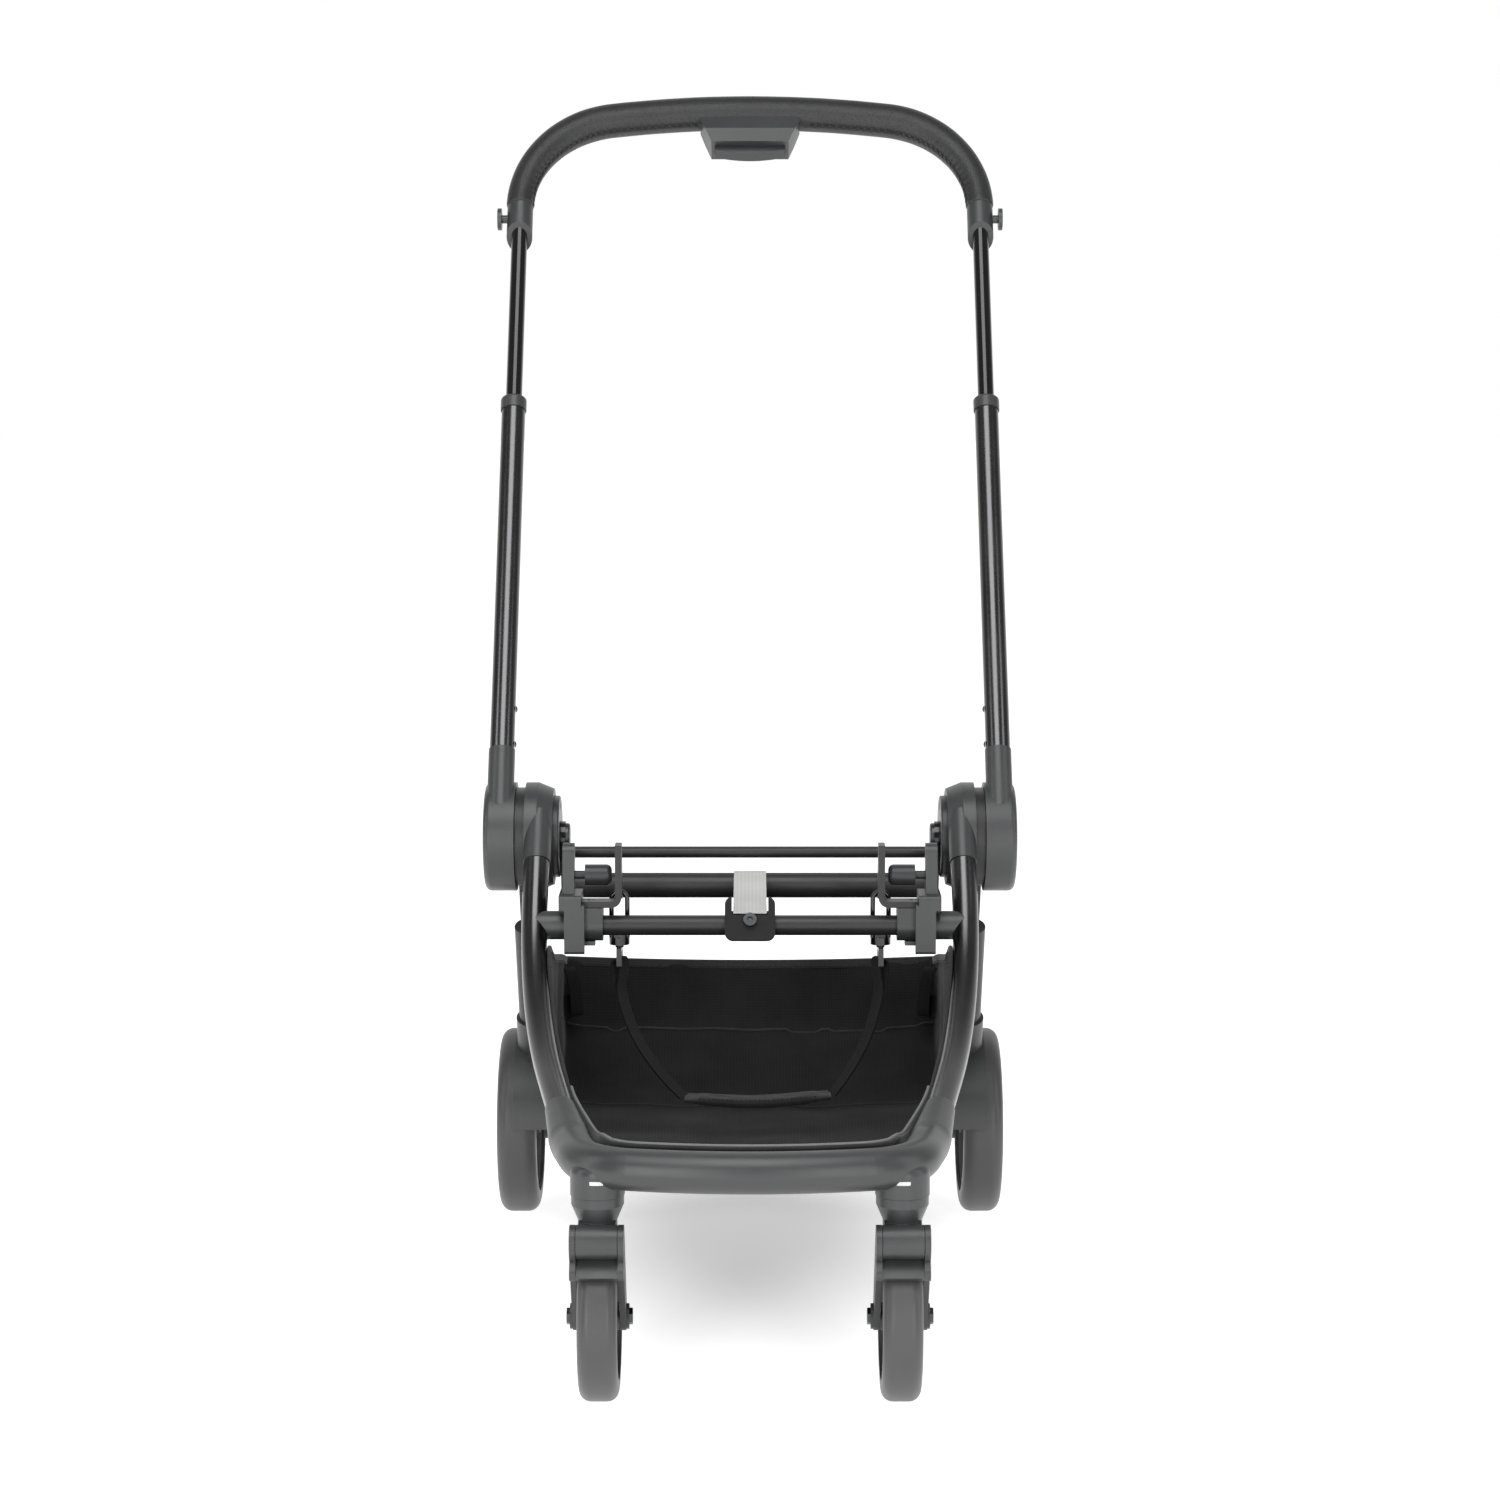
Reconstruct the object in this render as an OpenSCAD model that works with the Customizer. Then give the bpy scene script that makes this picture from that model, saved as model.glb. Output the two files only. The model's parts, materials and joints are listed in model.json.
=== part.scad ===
// Folding wheeled frame that carries an infant car seat: two fold hubs, a telescopic
// handle, curved front legs on swivel casters, rear legs on fixed wheels, a cloth basket.
// Millimetres. +Z is up, the front faces -Y, and the origin is on the floor below the
// middle of the overall box. Inside the modules Y is counted from the fold axis.

/* [Fold hubs] */
// Height of the fold axis above the floor
hub_z = 422; // [400:1:450]
// Radius of the hub discs
hub_r = 53; // [50:0.5:56]
// Radius of the hub discs' outer edge rounding
hub_fillet = 6; // [2:0.5:9]
// Distance from the middle plane to the front leg's axis at the hub
leg_x = 204.5; // [198:0.5:212]
// Width of the disc that carries the front leg
leg_hub_w = 27; // [27:0.5:32]
// Thickness of the rear leg's disc between the other two
lug_t = 9; // [7:0.5:12]
// Width of the disc that carries the handle
handle_hub_w = 30; // [28:0.5:36]
// Running gap between neighbouring discs
layer_gap = 0.3; // [0.2:0.05:0.5]
// Thickness of the screwed cover on the inner face
cover_t = 6; // [4:0.5:9]
// Radius of that cover
cover_r = 40; // [34:0.5:44]
// Radius of the pivot shaft
shaft_r = 8; // [6:0.25:10]
// Thickness of the link plate on the inner face
link_t = 5; // [4:0.5:7]

/* [Handle] */
// Lean of the handle behind the vertical, in degrees
handle_lean = 32; // [26:0.5:36]
// Distance of the handle tubes in front of the fold axis
handle_offset = 39; // [34:0.5:40]
// Tube axis measured from the inner face of its hub disc
handle_inset = 14.4; // [13.5:0.1:16]
// Outer diameter of the lower handle tube
tube_od = 24; // [22:0.5:25]
// Wall of the lower handle tube
tube_wall = 1.5; // [1.2:0.1:2]
// Distance from the fold axis to the lower end of the handle tube
socket_end = 75; // [68:1:85]
// Distance from the fold axis to the top of the handle tube
tube_top = 456; // [430:1:480]
// Height of the collar on the tube
collar_h = 14; // [10:0.5:18]
// Outer diameter of the sliding inner tube
inner_od = 16.5; // [15:0.5:17.5]
// Wall of the sliding inner tube
inner_wall = 1.3; // [1:0.1:1.6]
// Length of inner tube hidden in the handle tube
inner_hidden = 115; // [90:1:130]
// Distance from the fold axis to the top of the handlebar's axis
bar_w = 822; // [790:1:850]
// Radius of the handlebar's corners
corner_r = 110; // [90:1:125]
// Radius of the handlebar's shallow bow
bow_r = 1100; // [900:10:1600]
// Outer diameter of the handlebar tube under the grip
bar_od = 20; // [19:0.5:22]
// Diameter of the grip in the middle
grip_mid_d = 36; // [32:0.5:39]
// Diameter of the grip at its ends
grip_end_d = 29; // [27:0.5:31]
// Diameter of the end sleeves
sleeve_d = 27; // [26:0.5:28]
// Length of the end sleeves on the tube's axis
sleeve_len = 37; // [32:0.5:44]
// Diameter of the accessory stud's head
stud_d = 23; // [18:0.5:26]
// Height of the accessory stud's head
stud_head = 4; // [3:0.25:5]
// Length of the accessory stud's stem
stud_stem = 5.7; // [4:0.1:8]

/* [Fold button] */
// Width of the button housing at its widest
house_w = 106; // [98:1:114]
// Width of the housing at its mouth
mouth_w = 82; // [80:1:90]
// Depth of the housing's mouth below the bar's axis
house_drop = 47; // [44:0.5:52]
// Width of the button
button_w = 74; // [66:0.5:76]
// Thickness of the button
button_t = 15; // [12:0.5:16]
// How far the button stands out of the housing
button_out = 9; // [7:0.5:12]
// Travel of the button
button_travel = 5; // [3:0.5:6]

/* [Front legs and rail] */
// Outer diameter of the front legs
leg_od = 24.5; // [22:0.5:25]
// Wall of the front legs
leg_wall = 1.6; // [1.2:0.1:2]
// Slope of the front leg below the horizontal at the hub, in degrees
leg_drop = 48.7; // [45:0.1:52]
// Distance of the front leg's axis from the fold axis
leg_offset = 39.3; // [36:0.1:39.5]
// Length of the leg socket from the foot of that distance
leg_socket = 54; // [50:0.5:64]
// Where the straight runs of the leg would meet, from the same foot
leg_bend_at = 215; // [205:1:225]
// Radius of the leg's bend
leg_bend_r = 420; // [360:5:440]
// Lower end of the leg: distance from the middle plane
leg_end_x = 168; // [162:0.5:174]
// Lower end of the leg: distance in front of the fold axis
leg_end_y = -337; // [-350:1:-325]
// Lower end of the leg: height
leg_end_z = 232; // [226:0.5:240]
// Height of the rail's axis
rail_z = 214; // [208:0.5:220]
// Front rail's axis in the middle, in front of the fold axis
rail_mid_y = -487; // [-495:0.5:-482]
// Radius of the rail's forward bow
rail_bow_r = 480; // [420:5:600]
// Radius of the rail's corners
rail_corner_r = 60; // [52:1:68]
// Diameter of the rail's bar
rail_d = 36; // [32:0.5:40]

/* [Casters and front wheels] */
// Swivel axis from the middle plane
caster_x = 129.5; // [124:0.5:134]
// Swivel axis in front of the fold axis
caster_y = -460; // [-464:0.5:-456]
// Height of the swivel seam
caster_z = 189; // [187:0.5:191]
// Diameter of the caster housing
caster_d = 46.5; // [44:0.5:50]
// Trail of the wheel behind the swivel axis
caster_trail = 29; // [28:0.5:32]
// Height of the suspension barrel
barrel_z = 152; // [150:0.5:154]
// Suspension barrel ahead of the swivel axis
barrel_ahead = 19; // [18:0.5:21]
// Radius of the suspension barrel
barrel_r = 14.5; // [13.5:0.25:15]
// Radius of the front wheels
front_r = 72.5; // [68:0.5:73]
// Width of the front tyres
front_w = 34; // [30:0.5:36]
// Radius of the front axles
front_axle_r = 4; // [3:0.25:5]
// Thickness of the fork's cheeks
cheek_t = 5.2; // [4:0.2:6]

/* [Rear legs and wheels] */
// Rear axle behind the fold axis
rear_y = 177; // [165:1:190]
// Radius of the rear wheels
rear_r = 95; // [90:0.5:98]
// Width of the rear tyres
rear_w = 40; // [36:0.5:44]
// Middle of the rear tyres from the middle plane
rear_x = 238; // [236:0.5:244]
// Outer diameter of the rear legs
rear_leg_od = 24; // [20:0.5:25]
// Radius of the rear axle bar
axle_bar_r = 8; // [7:0.25:10]
// Radius of the rear stub axles
stub_r = 6; // [5:0.25:6.5]
// Gap between the rear tyre and its mudguard
guard_gap = 4; // [3:0.5:8]
// Wall of the mudguard
guard_t = 5; // [3:0.5:6]

/* [Cross members and seat catches] */
// Lower cross tube along the leg, from the foot of the leg's distance
knuckle_at = 124; // [118:1:130]
// Outer diameter of the lower cross tube
low_tube_od = 19; // [17:0.5:21]
// Radius of the leg knuckles
knuckle_r = 13.5; // [12.5:0.25:14]
// Upper cross tube behind the fold axis
up_tube_y = 15; // [10:0.5:20]
// Upper cross tube below the fold axis
up_tube_drop = 51; // [48:0.5:54]
// Outer diameter of the upper cross tube
up_tube_od = 24.5; // [22:0.5:26]
// Latch rod behind the fold axis
rod_y = 45; // [42:0.5:50]
// Latch rod below the fold axis
rod_drop = 23; // [20:0.5:26]
// Diameter of the latch rod
rod_d = 11.3; // [9:0.1:13]
// Width of the fold strap
strap_w = 31.5; // [28:0.5:33]
// Hook plate's finger from the middle plane
finger_x = 121.2; // [118:0.2:124]
// Metal thickness of the hook plate
hook_t = 6; // [5:0.25:7]
// Travel of the sprung catch
catch_travel = 8; // [5:0.5:9]

/* [Basket] */
// Height of the basket's rear edge
back_top_z = 272; // [262:1:285]
// Basket's rear edge behind the fold axis
back_top_y = 150; // [140:1:158]
// Half width of the basket at the back
basket_half = 189; // [184:0.5:192]
// Height of the basket's back wall
back_wall = 72; // [64:1:80]
// Height of the basket floor's edge
floor_z = 152; // [146:1:158]
// Sag of the floor between its edges
floor_sag = 4; // [2:0.5:8]
// Crease between the floor and its rear rise, behind the fold axis
rear_crease_y = 20; // [10:1:40]
// Crease between the floor and its front slope, in front of the fold axis
front_crease_y = -290; // [-300:1:-280]
// Thickness of the cloth
cloth_t = 1.6; // [1.2:0.1:2.4]

/* [Hidden] */
$fn = 64;
LEFT = -1;
RIGHT = 1;
// Radial clearance of turning fits, of seated fits and of cloth beside metal
run_fit = 0.05;
seat_fit = 0.05;
soft_fit = 0.3;

// Colours of the finishes
charcoal = "#2b2c2e";
satin_grey = "#3a3b3e";
gloss_black = "#141416";
rubber_grey = "#38393b";
rim_grey = "#77797c";
leatherette = "#2f2f31";
cloth_black = "#1d1e20";
webbing_grey = "#c9c9c7";
steel = "#9a9da1";

// Stack of the hub discs from the middle plane outwards
leg_hub_x0 = leg_x - leg_hub_w / 2;
leg_hub_x1 = leg_x + leg_hub_w / 2;
lug_x0 = leg_hub_x1 + layer_gap;
lug_x1 = lug_x0 + lug_t;
handle_hub_x0 = lug_x1 + layer_gap;
handle_hub_x1 = handle_hub_x0 + handle_hub_w;
cover_x0 = leg_hub_x0 - cover_t;
link_x1 = cover_x0 - layer_gap;
link_x0 = link_x1 - link_t;
handle_x = handle_hub_x0 + handle_inset;
shaft_end = handle_hub_x0 + 20;
bolt_head_t = 4;
bolt_head_r = 13;

// Handlebar arcs in the handle's plane: X across, Z along the tubes
corner_cx = handle_x - corner_r;
corner_cw = bar_w - bow_r + sqrt(pow(bow_r - corner_r, 2) - pow(corner_cx, 2));
bow_half = asin(corner_cx / (bow_r - corner_r));
grip_gap = 0.3;
sleeve_top = corner_cw - grip_gap;
sleeve_low = sleeve_top - sleeve_len;
sleeve_slope = 39;
socket_r = tube_od / 2 + 0.9;
spigot_len = 60;
inner_low = tube_top - inner_hidden;
inner_top = corner_cw - 4;
bar_end = sleeve_top - 22;

// Front leg: straight, one bend, straight, all in one plane
leg_dir = [0, -cos(leg_drop), -sin(leg_drop)];
leg_out_normal = [0, -sin(leg_drop), cos(leg_drop)];
leg_foot = [leg_x, 0, hub_z] + leg_offset * leg_out_normal;
leg_meet = leg_foot + leg_bend_at * leg_dir;
leg_end = [leg_end_x, leg_end_y, leg_end_z];
leg_out = unit(leg_end - leg_meet);
leg_turn = acos(leg_dir * leg_out);
leg_tangent = leg_bend_r * tan(leg_turn / 2);
leg_side = unit(leg_out - (leg_out * leg_dir) * leg_dir);
leg_tail = norm(leg_end - leg_meet) - leg_tangent;
leg_r = leg_od / 2;
leg_socket_r = leg_r + 0.9;
leg_spigot = 36;
leg_bore = leg_r - leg_wall;
joint_gap = 0.02;
bush_len = 6;
hub_spigot = leg_bend_at - leg_tangent - leg_socket - bush_len;

// Front rail
rail_r = rail_d / 2;
rail_core = rail_r - 3;
arm_r0 = leg_r + 1.2;
arm_bend_r = 60;
arm_flat = unit([leg_out.x, leg_out.y]);
arm_level = [arm_flat.x, arm_flat.y, 0];
arm_in = [arm_flat.y, -arm_flat.x];
arm_dip = asin(-leg_out.z);
arm_tangent = arm_bend_r * tan(arm_dip / 2);
arm_meet = leg_end + leg_out * (leg_end.z - rail_z) / -leg_out.z;
bow_c = [0, rail_mid_y + rail_bow_r];
turn_from_bow = [arm_meet.x, arm_meet.y] + rail_corner_r * arm_in - bow_c;
turn_run = sqrt(pow(turn_from_bow * arm_flat, 2) - turn_from_bow * turn_from_bow
  + pow(rail_bow_r - rail_corner_r, 2)) - turn_from_bow * arm_flat;
turn_c = bow_c + turn_from_bow + turn_run * arm_flat;
turn_from = atan2(turn_c.y - bow_c.y, turn_c.x - bow_c.x);
turn_angle = atan2(-arm_in.y, -arm_in.x) - turn_from;
rail_half = 90 + turn_from;
arm_end = arm_meet + turn_run * arm_level;
stem_r = 8;
stem_len = 30;

// Caster parts, in a frame on the floor below the swivel axis
fork_in = front_w / 2 + 0.8;
fork_out = fork_in + cheek_t;
axle_boss = 2.5;
pivot_r = 5;
bridge_gap = 3;
bridge_t = 5;
bridge_from = 120;
bridge_to = 140;
barrel_gap = 0.6;
bridge_r = front_r + bridge_gap + bridge_t / 2;
head_gap = 0.4;

// Rear legs: straight from the fold axis to the axle
rear_run = sqrt(pow(rear_y, 2) + pow(hub_z - rear_r, 2));
rear_tilt = atan2(rear_y, hub_z - rear_r);
rear_leg_x = (lug_x0 + lug_x1) / 2;
rear_leg_top = hub_r + 6;
// The folded handle's socket passes outside the rear leg, which is flat and solid there
fold_handle = 135;
fold_rear = 70;
fold_close = 180 + rear_tilt + handle_lean - fold_handle - fold_rear;
fold_flat = (handle_offset + socket_r + rear_leg_od / 2) / sin(fold_close) + 3;
guard_r0 = rear_r + guard_gap;
guard_r1 = guard_r0 + guard_t;
rear_leg_low = rear_run - guard_r1 - 6;
rear_boss_x0 = rear_x - rear_w / 2 - 20;
rear_boss_x1 = rear_x - rear_w / 2 - 4;
guard_from = 88;
guard_to = 172;

// Cross members
knuckle = leg_foot + knuckle_at * leg_dir;
low_y = knuckle.y;
low_z = knuckle.z;
low_r = low_tube_od / 2;
knuckle_x0 = leg_x - leg_r - 32;
up_z = hub_z - up_tube_drop;
rod_z = hub_z - rod_drop;
strap_t = 1.5;
bracket_tilt = 63;
plate_top = low_r + 5.5;
plate_t = 4;

// Seat catches, on the lower cross tube
clamp_x1 = knuckle_x0 - 0.4;
clamp_x0 = clamp_x1 - 21;
floor_top = low_z + low_r + 15;
clamp_top = floor_top - hook_t;
catch_z = low_z + 48;
fin_x0 = clamp_x1 + 6;
fin_x1 = fin_x0 + 11;
fin_top = low_z + 78;
catch_stem_r = 4;
eye_y = low_y + 15;
eye_z = floor_top + 6;
eye_r = 4.2;
wire_r = 2.2;
wire_loop = 7.5;
wire_in = wire_loop - wire_r;
wire_top = eye_z - eye_r + wire_r + soft_fit + wire_in - sqrt(pow(wire_in, 2) - pow(hook_t / 2, 2));
bolt_r = 3;
bolt_x = clamp_x1 - 7.4;
bolt_cap_r = 4.4;
bolt_cap_t = 3;
bolt_cap_z = floor_top - bolt_cap_t - 0.2;
hook_low = wire_top - wire_loop - 62;

// Basket outline
back_low_y = back_top_y - 15;
back_low_z = back_top_z - back_wall;
lip_z = rail_z + 12;
edge_gap = cloth_t / 2 + 2 * soft_fit;

// The overall box is centred on the origin in Y
bar_back = bar_w * sin(handle_lean) - handle_offset * cos(handle_lean) + grip_mid_d / 2;
front_most = min(caster_y + caster_trail - front_r, rail_mid_y - rail_d / 2);
hub_y = -(bar_back + front_most) / 2;

// Small geometry functions
function unit(v) = v / norm(v);
function on_circle(a) = [cos(a), sin(a)];
function mix(a, b, k) = a + (b - a) * k;
function smooth(k) = k * k * (3 - 2 * k);
function rail_back(x) = abs(x) < -(rail_bow_r - rail_r) * cos(turn_from + 180)
  ? bow_c.y - sqrt(pow(rail_bow_r - rail_r - soft_fit, 2) - x * x)
  : turn_c.y - sqrt(pow(rail_corner_r - rail_r - soft_fit, 2) - pow(abs(x) - turn_c.x, 2));

// Points on the front leg's axis: b degrees round the bend, or d past the bend
function leg_bend_point(b) =
  leg_meet + (leg_bend_r * sin(b) - leg_tangent) * leg_dir + leg_bend_r * (1 - cos(b)) * leg_side;
function leg_tail_point(d) = leg_meet + (leg_tangent + d) * leg_out;

// Places a shape of the right side, or its mirror image, in the overall frame
module sided(side) {
  translate([0, hub_y, 0])
    if (side == RIGHT) children();
    else mirror([1, 0, 0]) children();
}

// Both sides at once
module paired() {
  sided(LEFT) children();
  sided(RIGHT) children();
}

// Round bar along X
module x_bar(r, x0, x1, y = 0, z = 0) {
  translate([x0, y, z]) rotate([0, 90, 0]) cylinder(r = r, h = x1 - x0);
}

// Extrudes a shape drawn in Y and Z along X
module x_extrude(x0, x1) {
  translate([x0, 0, 0]) rotate([90, 0, 90]) linear_extrude(x1 - x0) children();
}

// Arc of a ring about an axis along X: radius r0 to r1, angles from +Y towards +Z
module x_ring_arc(r0, r1, x0, x1, from, to) {
  translate([x0, 0, 0]) rotate([90, 0, 90]) rotate([0, 0, from])
    rotate_extrude(angle = to - from) translate([r0, 0]) square([r1 - r0, x1 - x0]);
}

// Straight or tapered bar between two points
module bar_between(p, q, r_p, r_q) {
  d = q - p;
  translate(p) rotate([0, acos(d.z / norm(d)), atan2(d.y, d.x)])
    cylinder(h = norm(d), r1 = r_p, r2 = r_q);
}

// Flat link with round ends
module link_2d(p, r_p, q, r_q) {
  a = atan2(q.y - p.y, q.x - p.x);
  b = acos((r_p - r_q) / norm(q - p));
  translate(p) circle(r = r_p);
  translate(q) circle(r = r_q);
  polygon([
    p + r_p * on_circle(a + b), p + r_p * on_circle(a - b),
    q + r_q * on_circle(a - b), q + r_q * on_circle(a + b)
  ]);
}

// Rectangle with round corners, centred in its first direction
module rounded_2d(w, y0, y1, r) {
  translate([-w / 2 + r, y0]) square([w - 2 * r, y1 - y0]);
  translate([-w / 2, y0 + r]) square([w, y1 - y0 - 2 * r]);
  for (x = [-w / 2 + r, w / 2 - r], y = [y0 + r, y1 - r]) translate([x, y]) circle(r = r);
}

// Upright disc with a rounded upper rim
module rounded_cap(r, h, fillet) {
  rotate_extrude() {
    square([r - fillet, h]);
    square([r, h - fillet]);
    translate([r - fillet, h - fillet]) circle(r = fillet);
  }
}

// Disc along +X with one rounded rim
module rounded_disc(r, h, fillet) {
  rotate([0, 90, 0]) rounded_cap(r, h, fillet);
}

// Section of a tube, or of a solid bar when the bore is nothing
module ring_2d(r, bore) {
  difference() {
    circle(r = r);
    if (bore > 0) circle(r = bore);
  }
}

// Closed sheet of cloth over a grid of points, as thick as the vector t
module sheet(grid, t) {
  rows = len(grid);
  cols = len(grid[0]);
  count = rows * cols;
  upper = [for (row = grid) for (p = row) p + t / 2];
  lower = [for (row = grid) for (p = row) p - t / 2];
  function at(i, j) = i * cols + j;
  top = [for (i = [0:rows - 2]) for (j = [0:cols - 2])
    each [[at(i, j), at(i + 1, j), at(i + 1, j + 1)], [at(i, j), at(i + 1, j + 1), at(i, j + 1)]]];
  bottom = [for (f = top) [f[0] + count, f[2] + count, f[1] + count]];
  rim = concat(
    [for (j = [0:cols - 1]) at(0, j)], [for (i = [1:rows - 1]) at(i, cols - 1)],
    [for (j = [cols - 2:-1:0]) at(rows - 1, j)], [for (i = [rows - 2:-1:1]) at(i, 0)]);
  last = len(rim);
  wall = [for (k = [0:last - 1]) let (a = rim[k], b = rim[(k + 1) % last])
    each [[a, b, b + count], [a, b + count, a + count]]];
  polyhedron(concat(upper, lower), concat(top, bottom, wall));
}

// Solid through a list of rings with equally many points, closed at both ends
module lofted(rings) {
  sides = len(rings[0]);
  last = len(rings) - 1;
  function at(i, j) = i * sides + j % sides;
  skin = [for (i = [0:last - 1]) for (j = [0:sides - 1])
    each [[at(i, j), at(i, j + 1), at(i + 1, j + 1)], [at(i, j), at(i + 1, j + 1), at(i + 1, j)]]];
  start = [for (j = [1:sides - 2]) [at(0, 0), at(0, j + 1), at(0, j)]];
  end = [for (j = [1:sides - 2]) [at(last, 0), at(last, j), at(last, j + 1)]];
  polyhedron([for (ring = rings) for (p = ring) p], concat(skin, start, end));
}

// Tube through two lists of rings, one outside the other
module lofted_tube(outer, inner) {
  sides = len(outer[0]);
  rows = len(outer);
  count = sides * rows;
  function at(i, j) = i * sides + j % sides;
  skin = [for (i = [0:rows - 2]) for (j = [0:sides - 1])
    each [[at(i, j), at(i, j + 1), at(i + 1, j + 1)], [at(i, j), at(i + 1, j + 1), at(i + 1, j)]]];
  bore = [for (f = skin) [f[0] + count, f[2] + count, f[1] + count]];
  start = [for (j = [0:sides - 1])
    each [[at(0, j + 1), at(0, j), at(0, j) + count], [at(0, j + 1), at(0, j) + count, at(0, j + 1) + count]]];
  e = rows - 1;
  end = [for (j = [0:sides - 1])
    each [[at(e, j), at(e, j + 1), at(e, j) + count], [at(e, j + 1), at(e, j + 1) + count, at(e, j) + count]]];
  polyhedron([for (ring = concat(outer, inner)) for (p = ring) p], concat(skin, bore, start, end));
}

// Handle frame: Z runs up the tubes, and the tubes lie handle_offset in front of the fold axis
module in_handle() {
  translate([0, 0, hub_z]) rotate([-handle_lean, 0, 0]) translate([0, -handle_offset, 0]) children();
}

// Frame of a bend at the point p: X runs along d into the bend, Y towards the side that e turns to
module in_bend(p, d, e) {
  side = unit(e - (e * d) * d);
  up = cross(d, side);
  multmatrix([
    [d.x, side.x, up.x, p.x], [d.y, side.y, up.y, p.y], [d.z, side.z, up.z, p.z], [0, 0, 0, 1]
  ]) children();
}

// Leg frame: X runs down the first straight, Y towards the inside of the bend
module in_leg() {
  in_bend(leg_meet, leg_dir, leg_out) children();
}

// Tube along X with a bush in its start that joins it to the run before it
module joined_tube(r, bore, len) {
  rotate([0, 90, 0]) translate([0, 0, joint_gap]) linear_extrude(len - joint_gap) ring_2d(r, bore);
  rotate([0, 90, 0]) translate([0, 0, -bush_len / 2]) linear_extrude(bush_len) ring_2d(bore + 0.6, bore - 1);
}

// A bend in its own frame
module tube_bend(bend_r, turn, r, bore) {
  translate([-bend_r * tan(turn / 2), bend_r, 0]) rotate([0, 0, -90])
    rotate_extrude(angle = turn, $fn = 128) translate([bend_r, 0]) ring_2d(r, bore);
}

// The bend between the leg's straight runs
module leg_bend(r, bore) {
  tube_bend(leg_bend_r, leg_turn, r, bore);
}

module front_leg(side) {
  first = leg_bend_at - leg_tangent - leg_socket;
  color(satin_grey) sided(side) in_leg() {
    translate([-leg_tangent - joint_gap, 0, 0]) mirror([1, 0, 0]) joined_tube(leg_r, leg_bore, first - joint_gap);
    leg_bend(leg_r, leg_bore);
    rotate([0, 0, leg_turn]) translate([leg_tangent, 0, 0]) joined_tube(leg_r, leg_bore, leg_tail);
  }
}

// Moulded rail: one bar that runs on from the legs and bows forward, with two caster housings
module front_rail() {
  color(charcoal) difference() {
    union() {
      translate([0, hub_y + bow_c.y, rail_z]) rotate([0, 0, -90 - rail_half])
        rotate_extrude(angle = 2 * rail_half, $fn = 128) translate([rail_bow_r, 0]) circle(r = rail_r);
      paired() rail_end();
    }
    paired() translate([caster_x, caster_y, caster_z - 1]) cylinder(r = stem_r + run_fit, h = stem_len + 5);
  }
}

// One end of the rail: spigot in the leg, flared arm, level run, corner and caster housing
module rail_end() {
  bend_start = arm_meet - arm_tangent * leg_out;
  bend_end = arm_meet + arm_tangent * arm_level;
  slack = 0.02;
  bar_between(leg_end - leg_spigot * leg_out, leg_end + leg_out, leg_bore - seat_fit, leg_bore - seat_fit);
  bar_between(leg_end, bend_start - joint_gap * leg_out, arm_r0, rail_r);
  in_bend(arm_meet, leg_out, arm_level) tube_bend(arm_bend_r, arm_dip, rail_r, 0);
  bar_between(bend_end + joint_gap * arm_level, arm_end - joint_gap * arm_level, rail_r, rail_r);
  translate([turn_c.x, turn_c.y, rail_z]) rotate([0, 0, turn_from + slack])
    rotate_extrude(angle = turn_angle - 2 * slack, $fn = 96) translate([rail_corner_r, 0]) circle(r = rail_r);
  core(bend_start, leg_out);
  core(bend_end, arm_level);
  core(arm_end, arm_level);
  core([bow_c.x + rail_bow_r * cos(turn_from), bow_c.y + rail_bow_r * sin(turn_from), rail_z],
    [sin(turn_from), -cos(turn_from), 0]);
  translate([caster_x, caster_y, caster_z]) rounded_cap(caster_d / 2, rail_z - caster_z + 3, 9);
}

// Core that joins two runs of the rail's bar at the point p
module core(p, d) {
  bar_between(p - 4 * d, p + 4 * d, rail_core, rail_core);
}

// Inner half of the fold hub, tapered towards the middle, with the leg's socket
module leg_hub(side) {
  taper = 6;
  color(charcoal) sided(side) difference() {
    union() {
      translate([leg_hub_x1, 0, hub_z]) mirror([1, 0, 0]) {
        rotate([0, 90, 0]) cylinder(r = hub_r, h = leg_hub_w * 0.45);
        translate([leg_hub_w * 0.45, 0, 0]) rotate([0, 90, 0])
          cylinder(r1 = hub_r, r2 = hub_r - taper, h = leg_hub_w * 0.55);
      }
      bar_between(leg_foot, leg_foot + leg_socket * leg_dir, leg_socket_r, leg_socket_r);
      bar_between(leg_foot + leg_socket * leg_dir, leg_foot + (leg_socket + hub_spigot) * leg_dir,
        leg_bore - seat_fit, leg_bore - seat_fit);
    }
    x_bar(shaft_r + run_fit, leg_hub_x0 - 1, leg_hub_x1 + 1, 0, hub_z);
  }
}

module hub_covers() {
  color(gloss_black) paired() difference() {
    translate([leg_hub_x0, 0, hub_z]) mirror([1, 0, 0]) rounded_disc(cover_r, cover_t, 2);
    x_bar(shaft_r + run_fit, cover_x0 - 1, leg_hub_x0 + 1, 0, hub_z);
    cover_screw_places() x_bar(4.2, cover_x0 - 1, cover_x0 + 2);
  }
}

// Three screws round the cover
module cover_screw_places() {
  for (a = [90:120:330])
    translate([0, 30 * cos(a), hub_z + 30 * sin(a)]) children();
}

module hub_screws() {
  color(steel) paired() cover_screw_places() difference() {
    x_bar(4, cover_x0 + 0.2, cover_x0 + 2);
    x_bar(1.8, cover_x0, cover_x0 + 1.2, $fn = 6);
  }
}

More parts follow.
